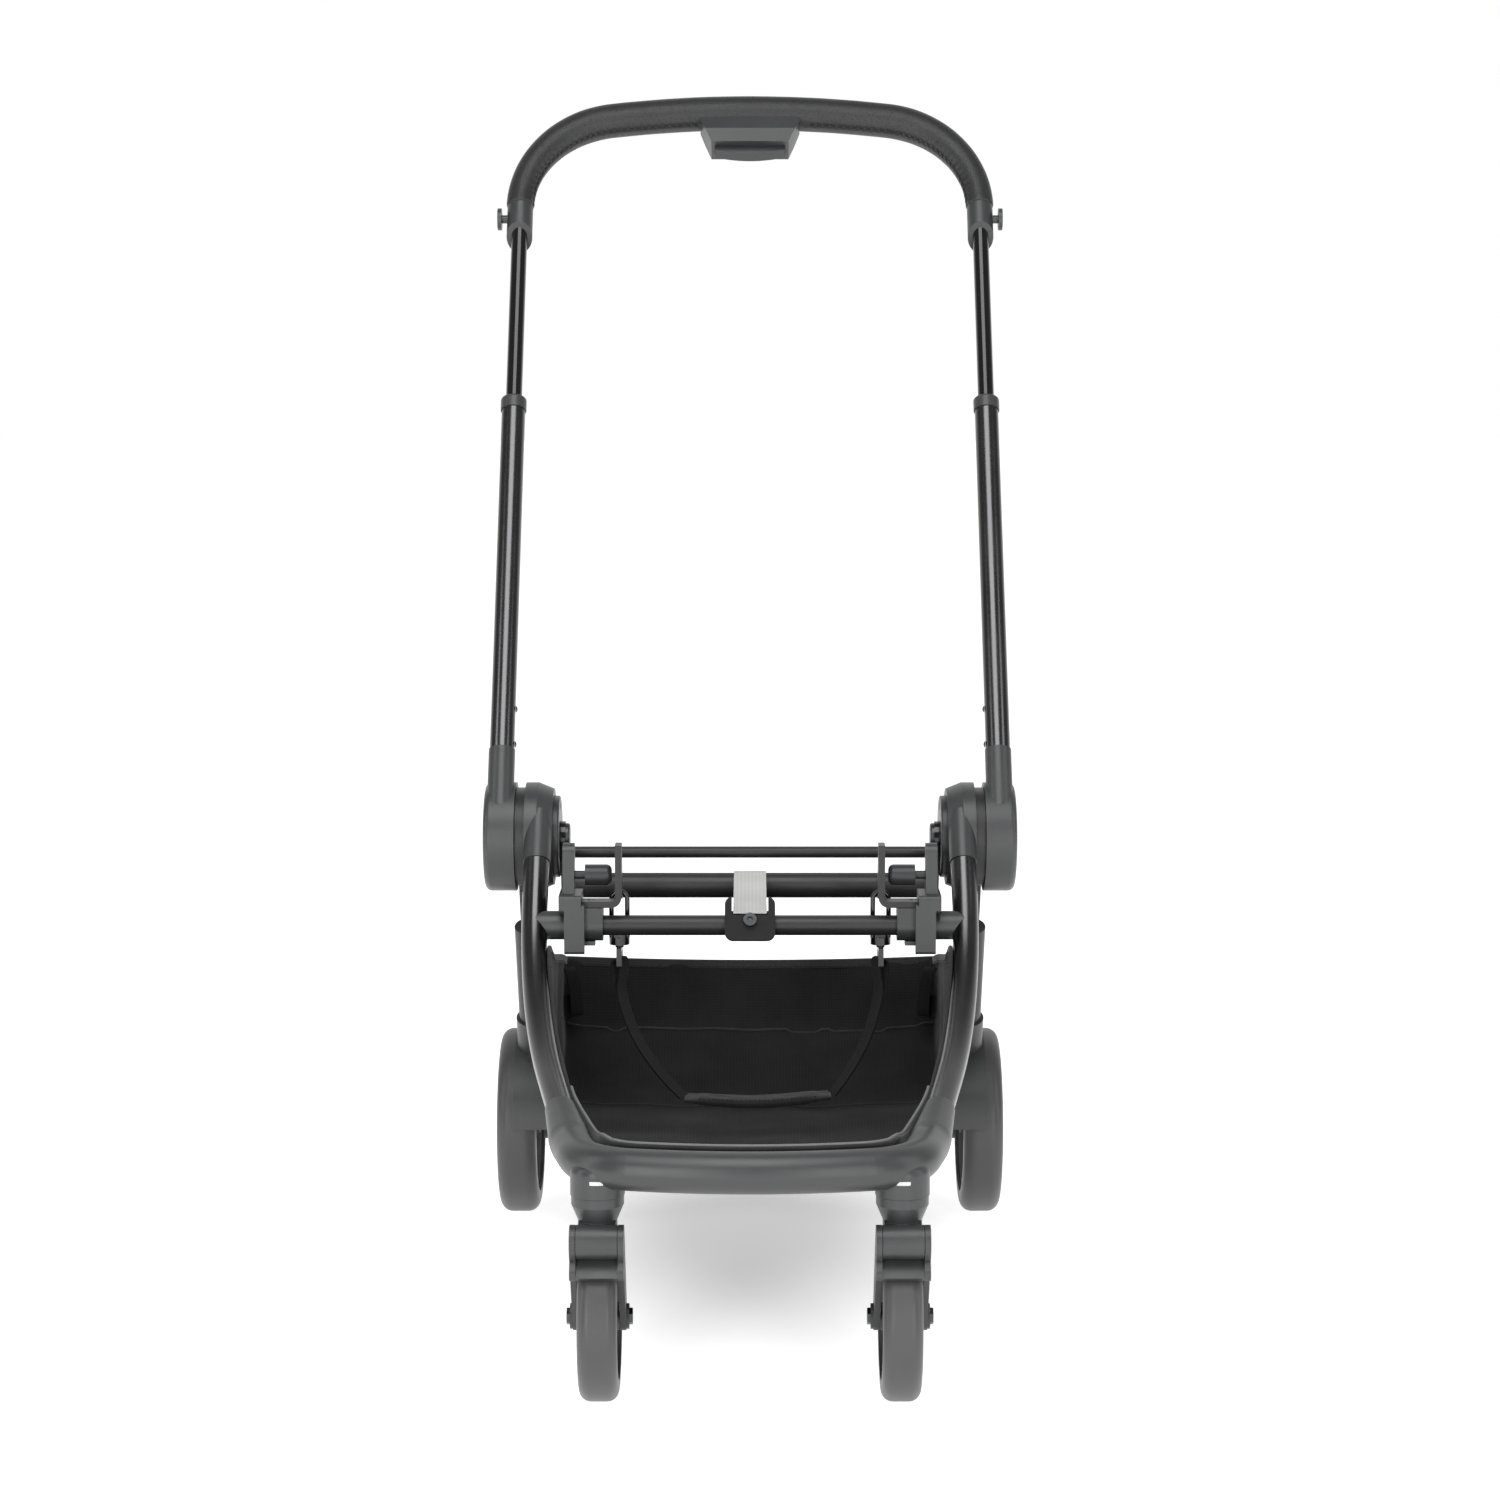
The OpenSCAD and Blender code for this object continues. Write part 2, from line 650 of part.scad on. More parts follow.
module leg_knuckles() {
  color(charcoal) paired() difference() {
    x_bar(knuckle_r, knuckle_x0, leg_x, low_y, low_z);
    in_leg() {
      leg_bend(leg_r + soft_fit, 0);
      translate([-leg_bend_at, 0, 0]) rotate([0, 90, 0])
        cylinder(r = leg_r + soft_fit, h = leg_bend_at - leg_tangent);
    }
    x_bar(low_r + seat_fit, knuckle_x0 - 1, knuckle_x0 + 18, low_y, low_z);
  }
}

module lower_cross_tube() {
  x1 = knuckle_x0 + 18;
  color(satin_grey) translate([0, hub_y, 0]) difference() {
    x_bar(low_r, -x1, x1, low_y, low_z);
    x_bar(low_r - tube_wall, -x1 - 1, x1 + 1, low_y, low_z);
    for (x = [-bolt_x, 0, bolt_x])
      translate([x, low_y, low_z - 2 * low_r]) cylinder(r = bolt_r + 0.1, h = 4 * low_r);
  }
}

// Moulded seat bracket: clamp on the cross tube, shelf over the knuckle, fin and foot
module seat_bracket(side) {
  shelf_low = low_z + knuckle_r + 1.2;
  shelf_top = shelf_low + 17;
  color(charcoal) sided(side) difference() {
    union() {
      x_extrude(clamp_x0, clamp_x1) {
        translate([low_y, low_z]) circle(r = low_r + 5);
        translate([low_y - 14, low_z]) square([30, clamp_top - low_z]);
      }
      x_extrude(clamp_x1 - 1, fin_x1 + 3) translate([low_y, 0]) rounded_2d(46, shelf_low, shelf_top, 4);
      x_extrude(fin_x0, fin_x1)
        link_2d([low_y + 2, shelf_low + 12], 12, [low_y + 6, fin_top - 10], 10);
      x_extrude(clamp_x1 - 4, clamp_x1 + 15)
        translate([low_y - knuckle_r - 5.5, 0]) rounded_2d(8, low_z - 24, shelf_low + 8, 3);
    }
    x_bar(low_r + seat_fit, clamp_x0 - 1, fin_x1 + 9, low_y, low_z);
    x_bar(catch_stem_r + run_fit, fin_x0 - 1, fin_x1 + 1, low_y + 2, catch_z);
    translate([bolt_x, low_y, low_z - 30]) cylinder(r = bolt_r + 0.1, h = 80);
  }
}

// Bent hook plate: floor on the clamp, upright finger, and an eye for the snap hook
module hook_plates() {
  bend = hook_t + 4;
  y0 = low_y - 11;
  y1 = low_y + 8;
  color(gloss_black) paired() difference() {
    union() {
      translate([0, y1, 0]) rotate([90, 0, 0]) linear_extrude(y1 - y0) {
        translate([finger_x + bend, clamp_top]) square([clamp_x1 - 1.2 - finger_x - bend, hook_t]);
        translate([finger_x, clamp_top + bend]) square([hook_t, fin_top - clamp_top - bend]);
        translate([finger_x + bend, clamp_top + bend]) intersection() {
          difference() {
            circle(r = bend);
            circle(r = bend - hook_t);
          }
          translate([-bend, -bend]) square(bend);
        }
      }
      x_extrude(finger_x, finger_x + hook_t) {
        link_2d([eye_y, eye_z], 7.5, [low_y + 2, fin_top - 9], 9);
        translate([y0, clamp_top + bend]) square([y1 - y0, fin_top - clamp_top - bend - 4]);
      }
    }
    x_bar(eye_r, finger_x - 1, finger_x + hook_t + 1, eye_y, eye_z);
    translate([bolt_x, low_y, clamp_top - 1]) cylinder(r = bolt_r + 0.1, h = 10);
    translate([bolt_x, low_y, bolt_cap_z]) cylinder(r = bolt_cap_r + 0.3, h = 10);
  }
}

// Bolts of the seat brackets and of the strap bracket
module frame_bolts() {
  nut_top = low_z - low_r - 5;
  color(steel) {
    paired() {
      translate([bolt_x, low_y, nut_top - 4]) cylinder(r = bolt_r, h = bolt_cap_z - nut_top + 5);
      translate([bolt_x, low_y, bolt_cap_z]) difference() {
        cylinder(r = bolt_cap_r, h = bolt_cap_t);
        translate([0, 0, 1.6]) cylinder(r = 2.2, h = 3, $fn = 6);
      }
      translate([bolt_x - 6, low_y - 6, nut_top - 4]) cube([12, 12, 4]);
    }
    translate([0, hub_y + low_y, low_z]) rotate([bracket_tilt, 0, 0]) {
      translate([0, 0, low_r + 0.5]) cylinder(r = bolt_r, h = plate_top - low_r + strap_t);
      translate([0, 0, plate_top + strap_t + 0.3]) difference() {
        cylinder(r = 6.3, h = 3.5);
        translate([0, 0, 1.5]) cylinder(r = 3, h = 3, $fn = 6);
      }
    }
  }
}

// Saddle on the lower tube with a slotted plate that the strap is bolted to
module strap_bracket() {
  half = strap_w / 2 + 8;
  color(charcoal) translate([0, hub_y + low_y, low_z]) rotate([bracket_tilt, 0, 0]) difference() {
    union() {
      translate([0, 0, plate_top - plate_t]) linear_extrude(plate_t) difference() {
        rounded_2d(2 * half, -19, 24, 8);
        translate([-strap_w / 2 - 1.5, 6]) square([strap_w + 3, 22]);
      }
      x_bar(low_r + 4, -half + 4, half - 4);
      translate([-half + 4, -low_r - 4, 0]) cube([2 * half - 8, 2 * low_r + 2, plate_top - plate_t + 1]);
    }
    x_bar(low_r + seat_fit, -half - 1, half + 1);
    translate([0, 0, -1]) cylinder(r = bolt_r + 0.1, h = plate_top + 5);
  }
}

// Webbing strap: a loop round the upper tube and a tail to the bracket's bolt
module fold_strap() {
  loop_r = up_tube_od / 2 + soft_fit;
  over = plate_top + strap_t + 0.1;
  tail = [low_y, low_z] + [7.5 * cos(bracket_tilt) - over * sin(bracket_tilt),
    7.5 * sin(bracket_tilt) + over * cos(bracket_tilt)];
  away = tail - [up_tube_y, up_z];
  aim = atan2(away.y, away.x) - acos((loop_r + strap_t) / norm(away));
  top = [up_tube_y, up_z] + (loop_r + strap_t - 0.15) * on_circle(aim);
  across = (strap_t - 0.3) * [-(top - tail).y, (top - tail).x] / norm(top - tail);
  color(webbing_grey) translate([0, hub_y, 0]) x_extrude(-strap_w / 2, strap_w / 2) {
    translate([up_tube_y, up_z]) difference() {
      circle(r = loop_r + strap_t);
      circle(r = loop_r);
    }
    polygon([top, tail, tail - across, top - across]);
  }
}

// Height of the basket floor's edge and the half width of the floor along Y
function floor_edge_z(y) = lookup(y, [
  [rail_mid_y + rail_r, lip_z], [front_crease_y, floor_z], [rear_crease_y, floor_z], [back_low_y, back_low_z]]);
function floor_half(y) = lookup(y, [
  [rail_mid_y + rail_d, caster_x - rail_r - 4], [mix(rail_mid_y + rail_d, leg_end_y, 0.45), caster_x - 5],
  [leg_end_y, leg_end_x - leg_r - 10], [front_crease_y, leg_end_x - leg_r + 4],
  [mix(front_crease_y, rear_crease_y, 0.3), basket_half - 13],
  [mix(front_crease_y, rear_crease_y, 0.52), basket_half - 4],
  [mix(front_crease_y, rear_crease_y, 0.93), basket_half], [back_top_y, basket_half]]);

// Point of the floor at a share k (-1 to 1) across, with its sag and soft lengthwise folds
function floor_point(k, y) = let (x = k * (floor_half(y) - edge_gap))
  [x, y, floor_edge_z(y) - floor_sag * (1 - k * k) * sin(90 * min(1, max(0, (y - rail_mid_y) / 200)))
    - 1.5 * (1 - k * k) * cos(x * 5)];

module basket_floor() {
  ys = [for (k = [0:10]) mix(front_crease_y + soft_fit / 2, back_low_y - edge_gap, k / 10)];
  color(cloth_black) translate([0, hub_y, 0])
    sheet([for (y = ys) [for (k = [-8:8]) floor_point(k / 8, y)]], [0, 0, cloth_t]);
}

module basket_front() {
  crease = front_crease_y - soft_fit / 2;
  reach = floor_half(rail_mid_y + 1.5 * rail_d) - edge_gap;
  rows = [for (k = [0:6]) [for (j = [-8:8])
    let (edge = rail_back(j / 8 * reach) + cloth_t / 2, y = mix(edge, crease, k / 6), p = floor_point(j / 8, y))
      [p.x, y, p.z]]];
  color(cloth_black) translate([0, hub_y, 0]) sheet(rows, [0, 0, cloth_t]);
}

module basket_back() {
  half = basket_half - edge_gap;
  color(cloth_black) translate([0, hub_y, 0])
    sheet([for (j = [-10:10]) [for (k = [0:4]) let (x = j / 10 * half, w = 1 - pow(j / 10, 2))
      [x, mix(back_low_y, back_top_y, k / 4) + 4 * w * sin(180 * k / 4),
        mix(back_low_z, back_top_z - 4 * w, k / 4)]]], [0, cloth_t, 0]);
}

// Top edge of the side panel: free at the back, then along the leg and the rail's arm
side_top = concat(
  [[basket_half, back_top_y, back_top_z], [basket_half, 60, back_top_z + 20], [basket_half + 1, -50, back_top_z + 42]],
  [for (k = [0.25, 0.5, 0.75, 1]) beside_leg(leg_bend_point(k * leg_turn))],
  [beside_leg(leg_tail_point(leg_tail * 0.7))],
  [for (k = [0.3, 0.6, 0.95]) beside_arm(k)]);
function beside_leg(p) = p - [(leg_r + soft_fit + cloth_t / 2) * 1.04, 0, 0];
function beside_arm(k) = (k < 0.5 ? mix(leg_end, arm_meet, 2 * k) : mix(arm_meet, arm_end, 2 * k - 1))
  - [(mix(arm_r0, rail_r, min(1, 2.6 * k)) + soft_fit + cloth_t / 2) * 1.1, 0, 0];

module basket_sides() {
  last = len(side_top) - 1;
  grid = [for (i = [0:4]) [for (j = [last:-1:0])
    let (top = side_top[j], low_y = j == 0 ? back_low_y : top.y,
      low = [floor_half(low_y), low_y, floor_edge_z(low_y) - cloth_t / 2], k = i / 4)
      mix(low, top, k) + [3 * sin(180 * k), 0, 0]]];
  color(cloth_black) paired() sheet(grid, [cloth_t, 0, 0]);
}

// Carrying strap: flat webbing from each snap hook down to the shoulder pad
carry_width = 22;
carry_t = 2;
pad_len = 140;
pad_w = 46;
pad_t = 14;
pad_shift = 7.5;
pad_drop = 129.5;
function pad_end(side) = [pad_shift + side * pad_len / 2, hook_low - pad_drop + side * 1.5];
function strap_run(side) = let (from = [side * (finger_x + hook_t / 2), hook_low - 0.7],
    to = pad_end(side) + [side * 3, 2.5])
  [for (k = [0, 0.17, 0.48, 0.79, 0.92, 1]) [mix(from.x, to.x, pow(k, 1.15)), mix(from.y, to.y, k)]];

module carry_strap() {
  color(cloth_black) translate([0, hub_y + eye_y, 0])
    for (side = [LEFT, RIGHT]) lofted(strap_rings(strap_run(side)));
}

// Four-cornered rings along a run of points in X and Z, turned to face outwards
function strap_rings(run) = [for (i = [0:len(run) - 1])
  let (a = run[max(0, i - 1)], b = run[min(len(run) - 1, i + 1)], d = unit(b - a),
    n = carry_t / 2 * [-d.y, d.x], w = carry_width / 2 * [0.25, 0.97], p = run[i],
    ring = [[p.x + n.x + w.x, w.y, p.y + n.y], [p.x + n.x - w.x, -w.y, p.y + n.y],
      [p.x - n.x - w.x, -w.y, p.y - n.y], [p.x - n.x + w.x, w.y, p.y - n.y]])
    ring];

// Shoulder pad: crowned, drawn in at its ends, hanging in a shallow bow
module carry_pad() {
  sides = 14;
  rings = [for (i = [0:14]) let (k = i / 14, c = mix(pad_end(LEFT), pad_end(RIGHT), k), e = pow(max(0, sin(180 * k)), 0.35))
    [for (j = [0:sides - 1]) let (a = 360 * j / sides)
      [c.x, pad_w / 2 * (0.55 + 0.45 * e) * cos(a), c.y - 6 * sin(180 * k) + pad_t / 2 * (0.45 + 0.55 * e) * sin(a)]]];
  color(cloth_black) translate([0, hub_y + eye_y, 0]) lofted(rings);
}

// Snap hooks: wire loop through the eye, barrel and a slotted frame for the webbing
module snap_hooks() {
  x = finger_x + hook_t / 2;
  loop_z = wire_top - wire_loop;
  barrel_top = loop_z - 36;
  color(gloss_black) paired() translate([x, eye_y, 0]) {
    translate([0, 0, loop_z]) rotate([90, 0, 0]) rotate_extrude(angle = 180)
      translate([wire_loop, 0]) circle(r = wire_r);
    for (side = [-1, 1]) translate([side * wire_loop, 0, barrel_top - 2]) cylinder(r = wire_r + 0.15, h = 38.6);
    translate([0, 0, barrel_top - 7]) cylinder(r = wire_loop + wire_r, h = 7);
    translate([0, 0, barrel_top - 10]) cylinder(r = 4, h = 4);
    translate([-2.5, -15, barrel_top - 26]) difference() {
      cube([5, 30, 17]);
      translate([-1, 3, 3.5]) cube([7, 24, 10]);
    }
  }
}

// Sprung seat catch: domed knob on a stem that slides in the bracket's fin
module latch_plunger(side) {
  knob_x1 = fin_x0 - catch_travel - 2;
  knob_x0 = finger_x + hook_t + 3.5;
  dome = 5;
  color(gloss_black) sided(side) translate([0, low_y + 2, catch_z]) {
    translate([knob_x1, 0, 0]) mirror([1, 0, 0]) rounded_disc(10, knob_x1 - knob_x0, dome);
    x_bar(catch_stem_r, knob_x1 - 1, fin_x1 - 1);
  }
}

// Outer half of the fold hub with the handle's socket and spigot
module handle_hub(side) {
  color(charcoal) sided(side) difference() {
    union() {
      translate([handle_hub_x0, 0, hub_z]) rounded_disc(hub_r, handle_hub_w, hub_fillet);
      in_handle() translate([handle_x, 0, 12]) cylinder(r = socket_r, h = socket_end - 12);
      in_handle() translate([handle_x, 0, socket_end - 1])
        cylinder(r = tube_od / 2 - tube_wall - seat_fit, h = spigot_len + 1);
    }
    x_bar(shaft_r + run_fit, handle_hub_x0 - 1, shaft_end + 0.5, 0, hub_z);
    x_ring_cut();
  }
}

// Shallow ring groove on the outer face
module x_ring_cut() {
  translate([handle_hub_x1 - 1, 0, hub_z]) rotate([0, 90, 0]) difference() {
    cylinder(r = hub_r - 15, h = 2);
    translate([0, 0, -1]) cylinder(r = hub_r - 18, h = 4);
  }
}

module handle_tube(side) {
  color(satin_grey) sided(side) in_handle() translate([handle_x, 0, socket_end]) difference() {
    cylinder(d = tube_od, h = tube_top - socket_end);
    translate([0, 0, -1]) cylinder(d = tube_od - 2 * tube_wall, h = tube_top - socket_end + 2);
  }
}

// Collars that guide the inner tubes: a rim on the tube and a bush inside it
module tube_collars() {
  color(charcoal) paired() in_handle() translate([handle_x, 0, tube_top]) difference() {
    union() {
      rotate_extrude() {
        square([tube_od / 2 + 1.2, collar_h - 3]);
        square([tube_od / 2 - 1.8, collar_h]);
        translate([tube_od / 2 - 1.8, collar_h - 3]) circle(r = 3);
      }
      translate([0, 0, -18]) cylinder(d = tube_od - 2 * tube_wall - 2 * seat_fit, h = 19);
    }
    translate([0, 0, -20]) cylinder(d = inner_od + 2 * run_fit, h = collar_h + 40);
  }
}

// Rivets through the tube and the hub's spigot, on the inner side
module handle_rivets() {
  color(steel) paired() in_handle() for (w = [socket_end + 6, socket_end + 44])
    translate([handle_x - tube_od / 2, 0, w]) rotate([0, -90, 0])
      intersection() {
        translate([0, 0, -2.6]) sphere(r = 4.6);
        translate([0, 0, 0.4]) cylinder(r = 4, h = 4);
      }
}

module inner_tube(side) {
  color(gloss_black) sided(side) in_handle() translate([handle_x, 0, inner_low]) difference() {
    union() {
      cylinder(d = inner_od, h = inner_top - inner_low);
      cylinder(d = tube_od - 2 * tube_wall - 2 * run_fit, h = 14);
    }
    translate([0, 0, -1]) cylinder(d = inner_od - 2 * inner_wall, h = inner_top - inner_low + 2);
  }
}

// The bar's arcs and straight ends as a tube
module bar_run(r, bore) {
  in_handle() {
    translate([0, 0, bar_w - bow_r]) rotate([90, 0, 0]) rotate([0, 0, 90 - bow_half])
      rotate_extrude(angle = 2 * bow_half, $fn = 128) translate([bow_r, 0]) ring_2d(r, bore);
    for (side = [LEFT, RIGHT]) {
      translate([side * corner_cx, 0, corner_cw]) rotate([90, 0, 0])
        rotate([0, 0, side == RIGHT ? 0.02 : 90 + bow_half + 0.02])
          rotate_extrude(angle = 90 - bow_half - 0.04, $fn = 96) translate([corner_r, 0]) ring_2d(r, bore);
      translate([side * handle_x, 0, bar_end]) linear_extrude(corner_cw - bar_end) ring_2d(r, bore);
      translate([side * handle_x, 0, corner_cw - 3]) linear_extrude(6) ring_2d(bore + 0.5, bore - 1);
      translate([0, 0, bar_w - bow_r]) rotate([0, side * bow_half, 0]) translate([-3, 0, bow_r])
        rotate([0, 90, 0]) linear_extrude(6) ring_2d(bore + 0.5, bore - 1);
    }
  }
}

module handlebar() {
  color(satin_grey) translate([0, hub_y, 0]) bar_run(bar_od / 2, inner_od / 2 + seat_fit);
}

// Ring of the grip at angle a round the bar: corners below, bow above
function grip_centre(a) = a <= 90 - bow_half ? [corner_cx, corner_cw] + corner_r * on_circle(a)
  : a >= 90 + bow_half ? [-corner_cx, corner_cw] + corner_r * on_circle(a)
  : [0, bar_w - bow_r] + bow_r * on_circle(a);
function grip_share(a) = smooth(min(1, min(a, 180 - a) / (90 - bow_half)));
function grip_ring(a, r, sides) = let (c = grip_centre(a), n = on_circle(a))
  [for (j = [0:sides - 1]) let (b = 360 * j / sides)
    [c.x + r * cos(b) * n.x, r * sin(b), c.y + r * cos(b) * n.y]];

// Wrapped grip, thicker in the middle than at its ends
module grip() {
  sides = 18;
  angles = concat([for (k = [0:9]) k / 10 * (90 - bow_half)],
    [for (k = [0:12]) mix(90 - bow_half, 90 + bow_half, k / 12)],
    [for (k = [1:10]) mix(90 + bow_half, 180, k / 10)]);
  bore = (bar_od / 2 + 0.4) / cos(180 / sides);
  color(leatherette) translate([0, hub_y, 0]) in_handle() lofted_tube(
    [for (a = angles) grip_ring(a, mix(grip_end_d, grip_mid_d, grip_share(a)) / 2, sides)],
    [for (a = angles) grip_ring(a, bore, sides)]);
}

// Sleeves below the grip, cut on a slant, each with a mushroom stud on its outer side
module end_sleeves() {
  stud_w = sleeve_top - 15;
  color(charcoal) paired() in_handle() difference() {
    union() {
      translate([handle_x, 0, sleeve_low - sleeve_d / 2]) cylinder(d = sleeve_d, h = sleeve_len + sleeve_d / 2);
      translate([handle_x, 0, stud_w]) {
        x_bar(4.35, 0, sleeve_d / 2 + stud_stem + 1);
        translate([sleeve_d / 2 + stud_stem, 0, 0]) x_bar(stud_d / 2, 0, stud_head);
      }
    }
    translate([handle_x, 0, sleeve_low]) rotate([-sleeve_slope, 0, 0])
      translate([-sleeve_d, -2 * sleeve_d, -2 * sleeve_d]) cube([2 * sleeve_d, 4 * sleeve_d, 2 * sleeve_d]);
    translate([handle_x, 0, sleeve_low - sleeve_d]) cylinder(d = inner_od + 2 * seat_fit, h = 100);
    translate([handle_x, 0, bar_end - seat_fit]) cylinder(d = bar_od + 2 * seat_fit, h = 60);
  }
}

// Housing that wraps the underside of the bar, with the button's pocket
module button_housing() {
  front = grip_mid_d / 2 - 1;
  color(charcoal) translate([0, hub_y, 0]) in_handle() difference() {
    translate([0, front, bar_w]) rotate([90, 0, 0]) linear_extrude(2 * front)
      polygon([[-house_w / 2 + 10, -5], [-house_w / 2, -17], [-mouth_w / 2, -house_drop],
        [mouth_w / 2, -house_drop], [house_w / 2, -17], [house_w / 2 - 10, -5]]);
    for (side = [-1, 1]) translate([0, side * front, bar_w - house_drop]) rotate([side * 14, 0, 0])
      translate([-house_w, side > 0 ? 0 : -20, -20]) translate([0, side * 4, 0]) cube([2 * house_w, 20, 70]);
    translate([0, 0, bar_w - bow_r]) rotate([90, 0, 0]) rotate([0, 0, 90 - bow_half])
      rotate_extrude(angle = 2 * bow_half, $fn = 128) translate([bow_r, 0]) circle(d = grip_mid_d + 1);
    translate([-button_w / 2 - 0.4, -button_t / 2 - 0.4, bar_w - house_drop - 1])
      cube([button_w + 0.8, button_t + 0.8, house_drop - grip_mid_d / 2 - 2]);
  }
}

// Push button with a curved lower lip
module fold_button() {
  lip = 2 * button_w;
  low = bar_w - house_drop - button_out;
  high = bar_w - grip_mid_d / 2 - 3.5 - button_travel;
  color(gloss_black) translate([0, hub_y, 0]) in_handle() intersection() {
    translate([0, button_t / 2, 0]) rotate([90, 0, 0]) linear_extrude(button_t)
      rounded_2d(button_w, low, high, 4);
    translate([0, button_t, low + lip]) rotate([90, 0, 0]) cylinder(r = lip, h = 2 * button_t, $fn = 128);
  }
}

// Point on the rear leg's axis at a distance from the fold axis
function rear_point(d) = [rear_leg_x, d * sin(rear_tilt), hub_z - d * cos(rear_tilt)];

module rear_leg(side) {
  neck = 24;
  color(satin_grey) sided(side) difference() {
    union() {
      x_bar(hub_r - 5, lug_x0, lug_x1, 0, hub_z);
      x_extrude(lug_x0, lug_x1) link_2d([0, hub_z], neck / 2,
        [rear_point(rear_leg_top + 16).y, rear_point(rear_leg_top + 16).z], neck / 2 - 1);
      bar_between(rear_point(rear_leg_top), rear_point(rear_leg_low), rear_leg_od / 2, rear_leg_od / 2);
    }
    bar_between(rear_point(fold_flat + 4), rear_point(rear_leg_low + 1), rear_leg_od / 2 - tube_wall,
      rear_leg_od / 2 - tube_wall);
    x_bar(fold_flat, lug_x1 + 0.05, rear_leg_x + rear_leg_od / 2 + 1, 0, hub_z);
    x_bar(shaft_r + seat_fit, lug_x0 - 1, lug_x1 + 1, 0, hub_z);
  }
}

// Plates on the pivot shafts that carry the upper cross tube and the latch rod
module rear_links() {
  up = [up_tube_y, up_z];
  rod = [rod_y, rod_z];
  color(gloss_black) paired() difference() {
    x_extrude(link_x0, link_x1) {
      link_2d([0, hub_z], 15, up, up_tube_od / 2 + 4);
      link_2d([0, hub_z], 15, rod, rod_d / 2 + 5);
      link_2d(up, up_tube_od / 2, rod, rod_d / 2);
    }
    x_bar(shaft_r + seat_fit, link_x0 - 1, link_x1 + 1, 0, hub_z);
    x_bar(up_tube_od / 2 + seat_fit, link_x0 - 1, link_x1 - 1.5, up.x, up.y);
    x_bar(rod_d / 2 + seat_fit, link_x0 - 1, link_x1 - 1.5, rod.x, rod.y);
  }
}

// Pivot shafts with a pan head on the inner side
module hub_shafts() {
  color(steel) paired() translate([0, 0, hub_z]) {
    x_bar(shaft_r, link_x0 - 1, shaft_end);
    translate([link_x0, 0, 0]) mirror([1, 0, 0]) rounded_disc(bolt_head_r, bolt_head_t, 1.9);
  }
}

module upper_cross_tube() {
  color(satin_grey) translate([0, hub_y, 0]) difference() {
    x_bar(up_tube_od / 2, -link_x1 + 1.5, link_x1 - 1.5, up_tube_y, up_z);
    x_bar(up_tube_od / 2 - tube_wall, -link_x1, link_x1, up_tube_y, up_z);
  }
}

module latch_rod() {
  color(satin_grey) translate([0, hub_y, 0])
    x_bar(rod_d / 2, -link_x1 + 1.5, link_x1 - 1.5, rod_y, rod_z);
}

module rear_axle() {
  stub_end = rear_x + rear_w / 2 - 5;
  color(satin_grey) translate([0, hub_y, 0]) {
    x_bar(axle_bar_r, -rear_boss_x1, rear_boss_x1, rear_y, rear_r);
    x_bar(stub_r, -stub_end, stub_end, rear_y, rear_r);
  }
}

// Moulded rear leg ends: leg socket, inner side plate, axle boss and mudguard
module rear_housings() {
  axle = [rear_y, rear_r];
  socket = rear_point(rear_run - guard_r1 - 4);
  color(charcoal) paired() difference() {
    union() {
      x_bar(20, rear_boss_x0, rear_boss_x1, rear_y, rear_r);
      x_extrude(rear_boss_x1 - 10, rear_boss_x1) link_2d(axle, 20, [socket.y, socket.z], 15);
      translate([0, rear_y, rear_r])
        x_ring_arc(guard_r0, guard_r1, rear_boss_x1 - 10, rear_x + 2, guard_from, guard_to);
      bar_between(rear_point(rear_run - guard_r1 - 36), rear_point(rear_run - guard_r0 - 2),
        rear_leg_od / 2 + 3, rear_leg_od / 2 + 3);
    }
    x_bar(axle_bar_r + seat_fit, rear_boss_x0 - 1, rear_boss_x1 + 1, rear_y, rear_r);
    bar_between(rear_point(rear_run - guard_r1 - 37), rear_point(rear_leg_low + 0.3), rear_leg_od / 2 + seat_fit,
      rear_leg_od / 2 + seat_fit);
    x_bar(guard_r0 - 1, rear_boss_x1, rear_x + 60, rear_y, rear_r);
  }
}

// Tyre and rim about an axis along X, centred on the origin
module tyre_ring(r, w, rim_r, shoulder) {
  inside = 4;
  rotate([0, 90, 0]) rotate_extrude($fn = 128) intersection() {
    translate([rim_r, -w]) square([r, 2 * w]);
    union() {
      translate([rim_r - inside, -w / 2]) square([r - shoulder - rim_r + inside, w]);
      translate([rim_r - inside, -w / 2 + shoulder]) square([r - rim_r + inside, w - 2 * shoulder]);
      for (z = [-w / 2 + shoulder, w / 2 - shoulder]) translate([r - shoulder, z]) circle(r = shoulder);
    }
  }
}

// Rim turned in one profile, with round windows in its web and a blind bore from the inner side
module windowed_rim(rim_r, half, hub_half, bore_r, windows) {
  hub_wall = 8;
  ring_wall = 5;
  mid_r = (bore_r + hub_wall + rim_r - ring_wall) / 2;
  window_r = min((rim_r - ring_wall - bore_r - hub_wall) / 2 - 2.5, mid_r * sin(180 / windows) - 3);
  difference() {
    rotate([0, 90, 0]) rotate_extrude($fn = 128) {
      translate([0, -hub_half]) square([bore_r + hub_wall, 2 * hub_half]);
      translate([0, -half * 0.5]) square([rim_r - 1, half]);
      translate([rim_r - ring_wall, -half]) square([ring_wall, 2 * half]);
    }
    x_bar(bore_r, -hub_half - 1, hub_half - 3);
    for (k = [0:windows - 1]) rotate([360 * k / windows + 8, 0, 0]) x_bar(window_r, -half, half, 0, mid_r);
  }
}

rear_rim_r = rear_r - 21;
front_rim_r = front_r - 18;

module rear_tyre(side) {
  color(rubber_grey) sided(side) translate([rear_x, rear_y, rear_r])
    tyre_ring(rear_r, rear_w, rear_rim_r + seat_fit, 12);
}

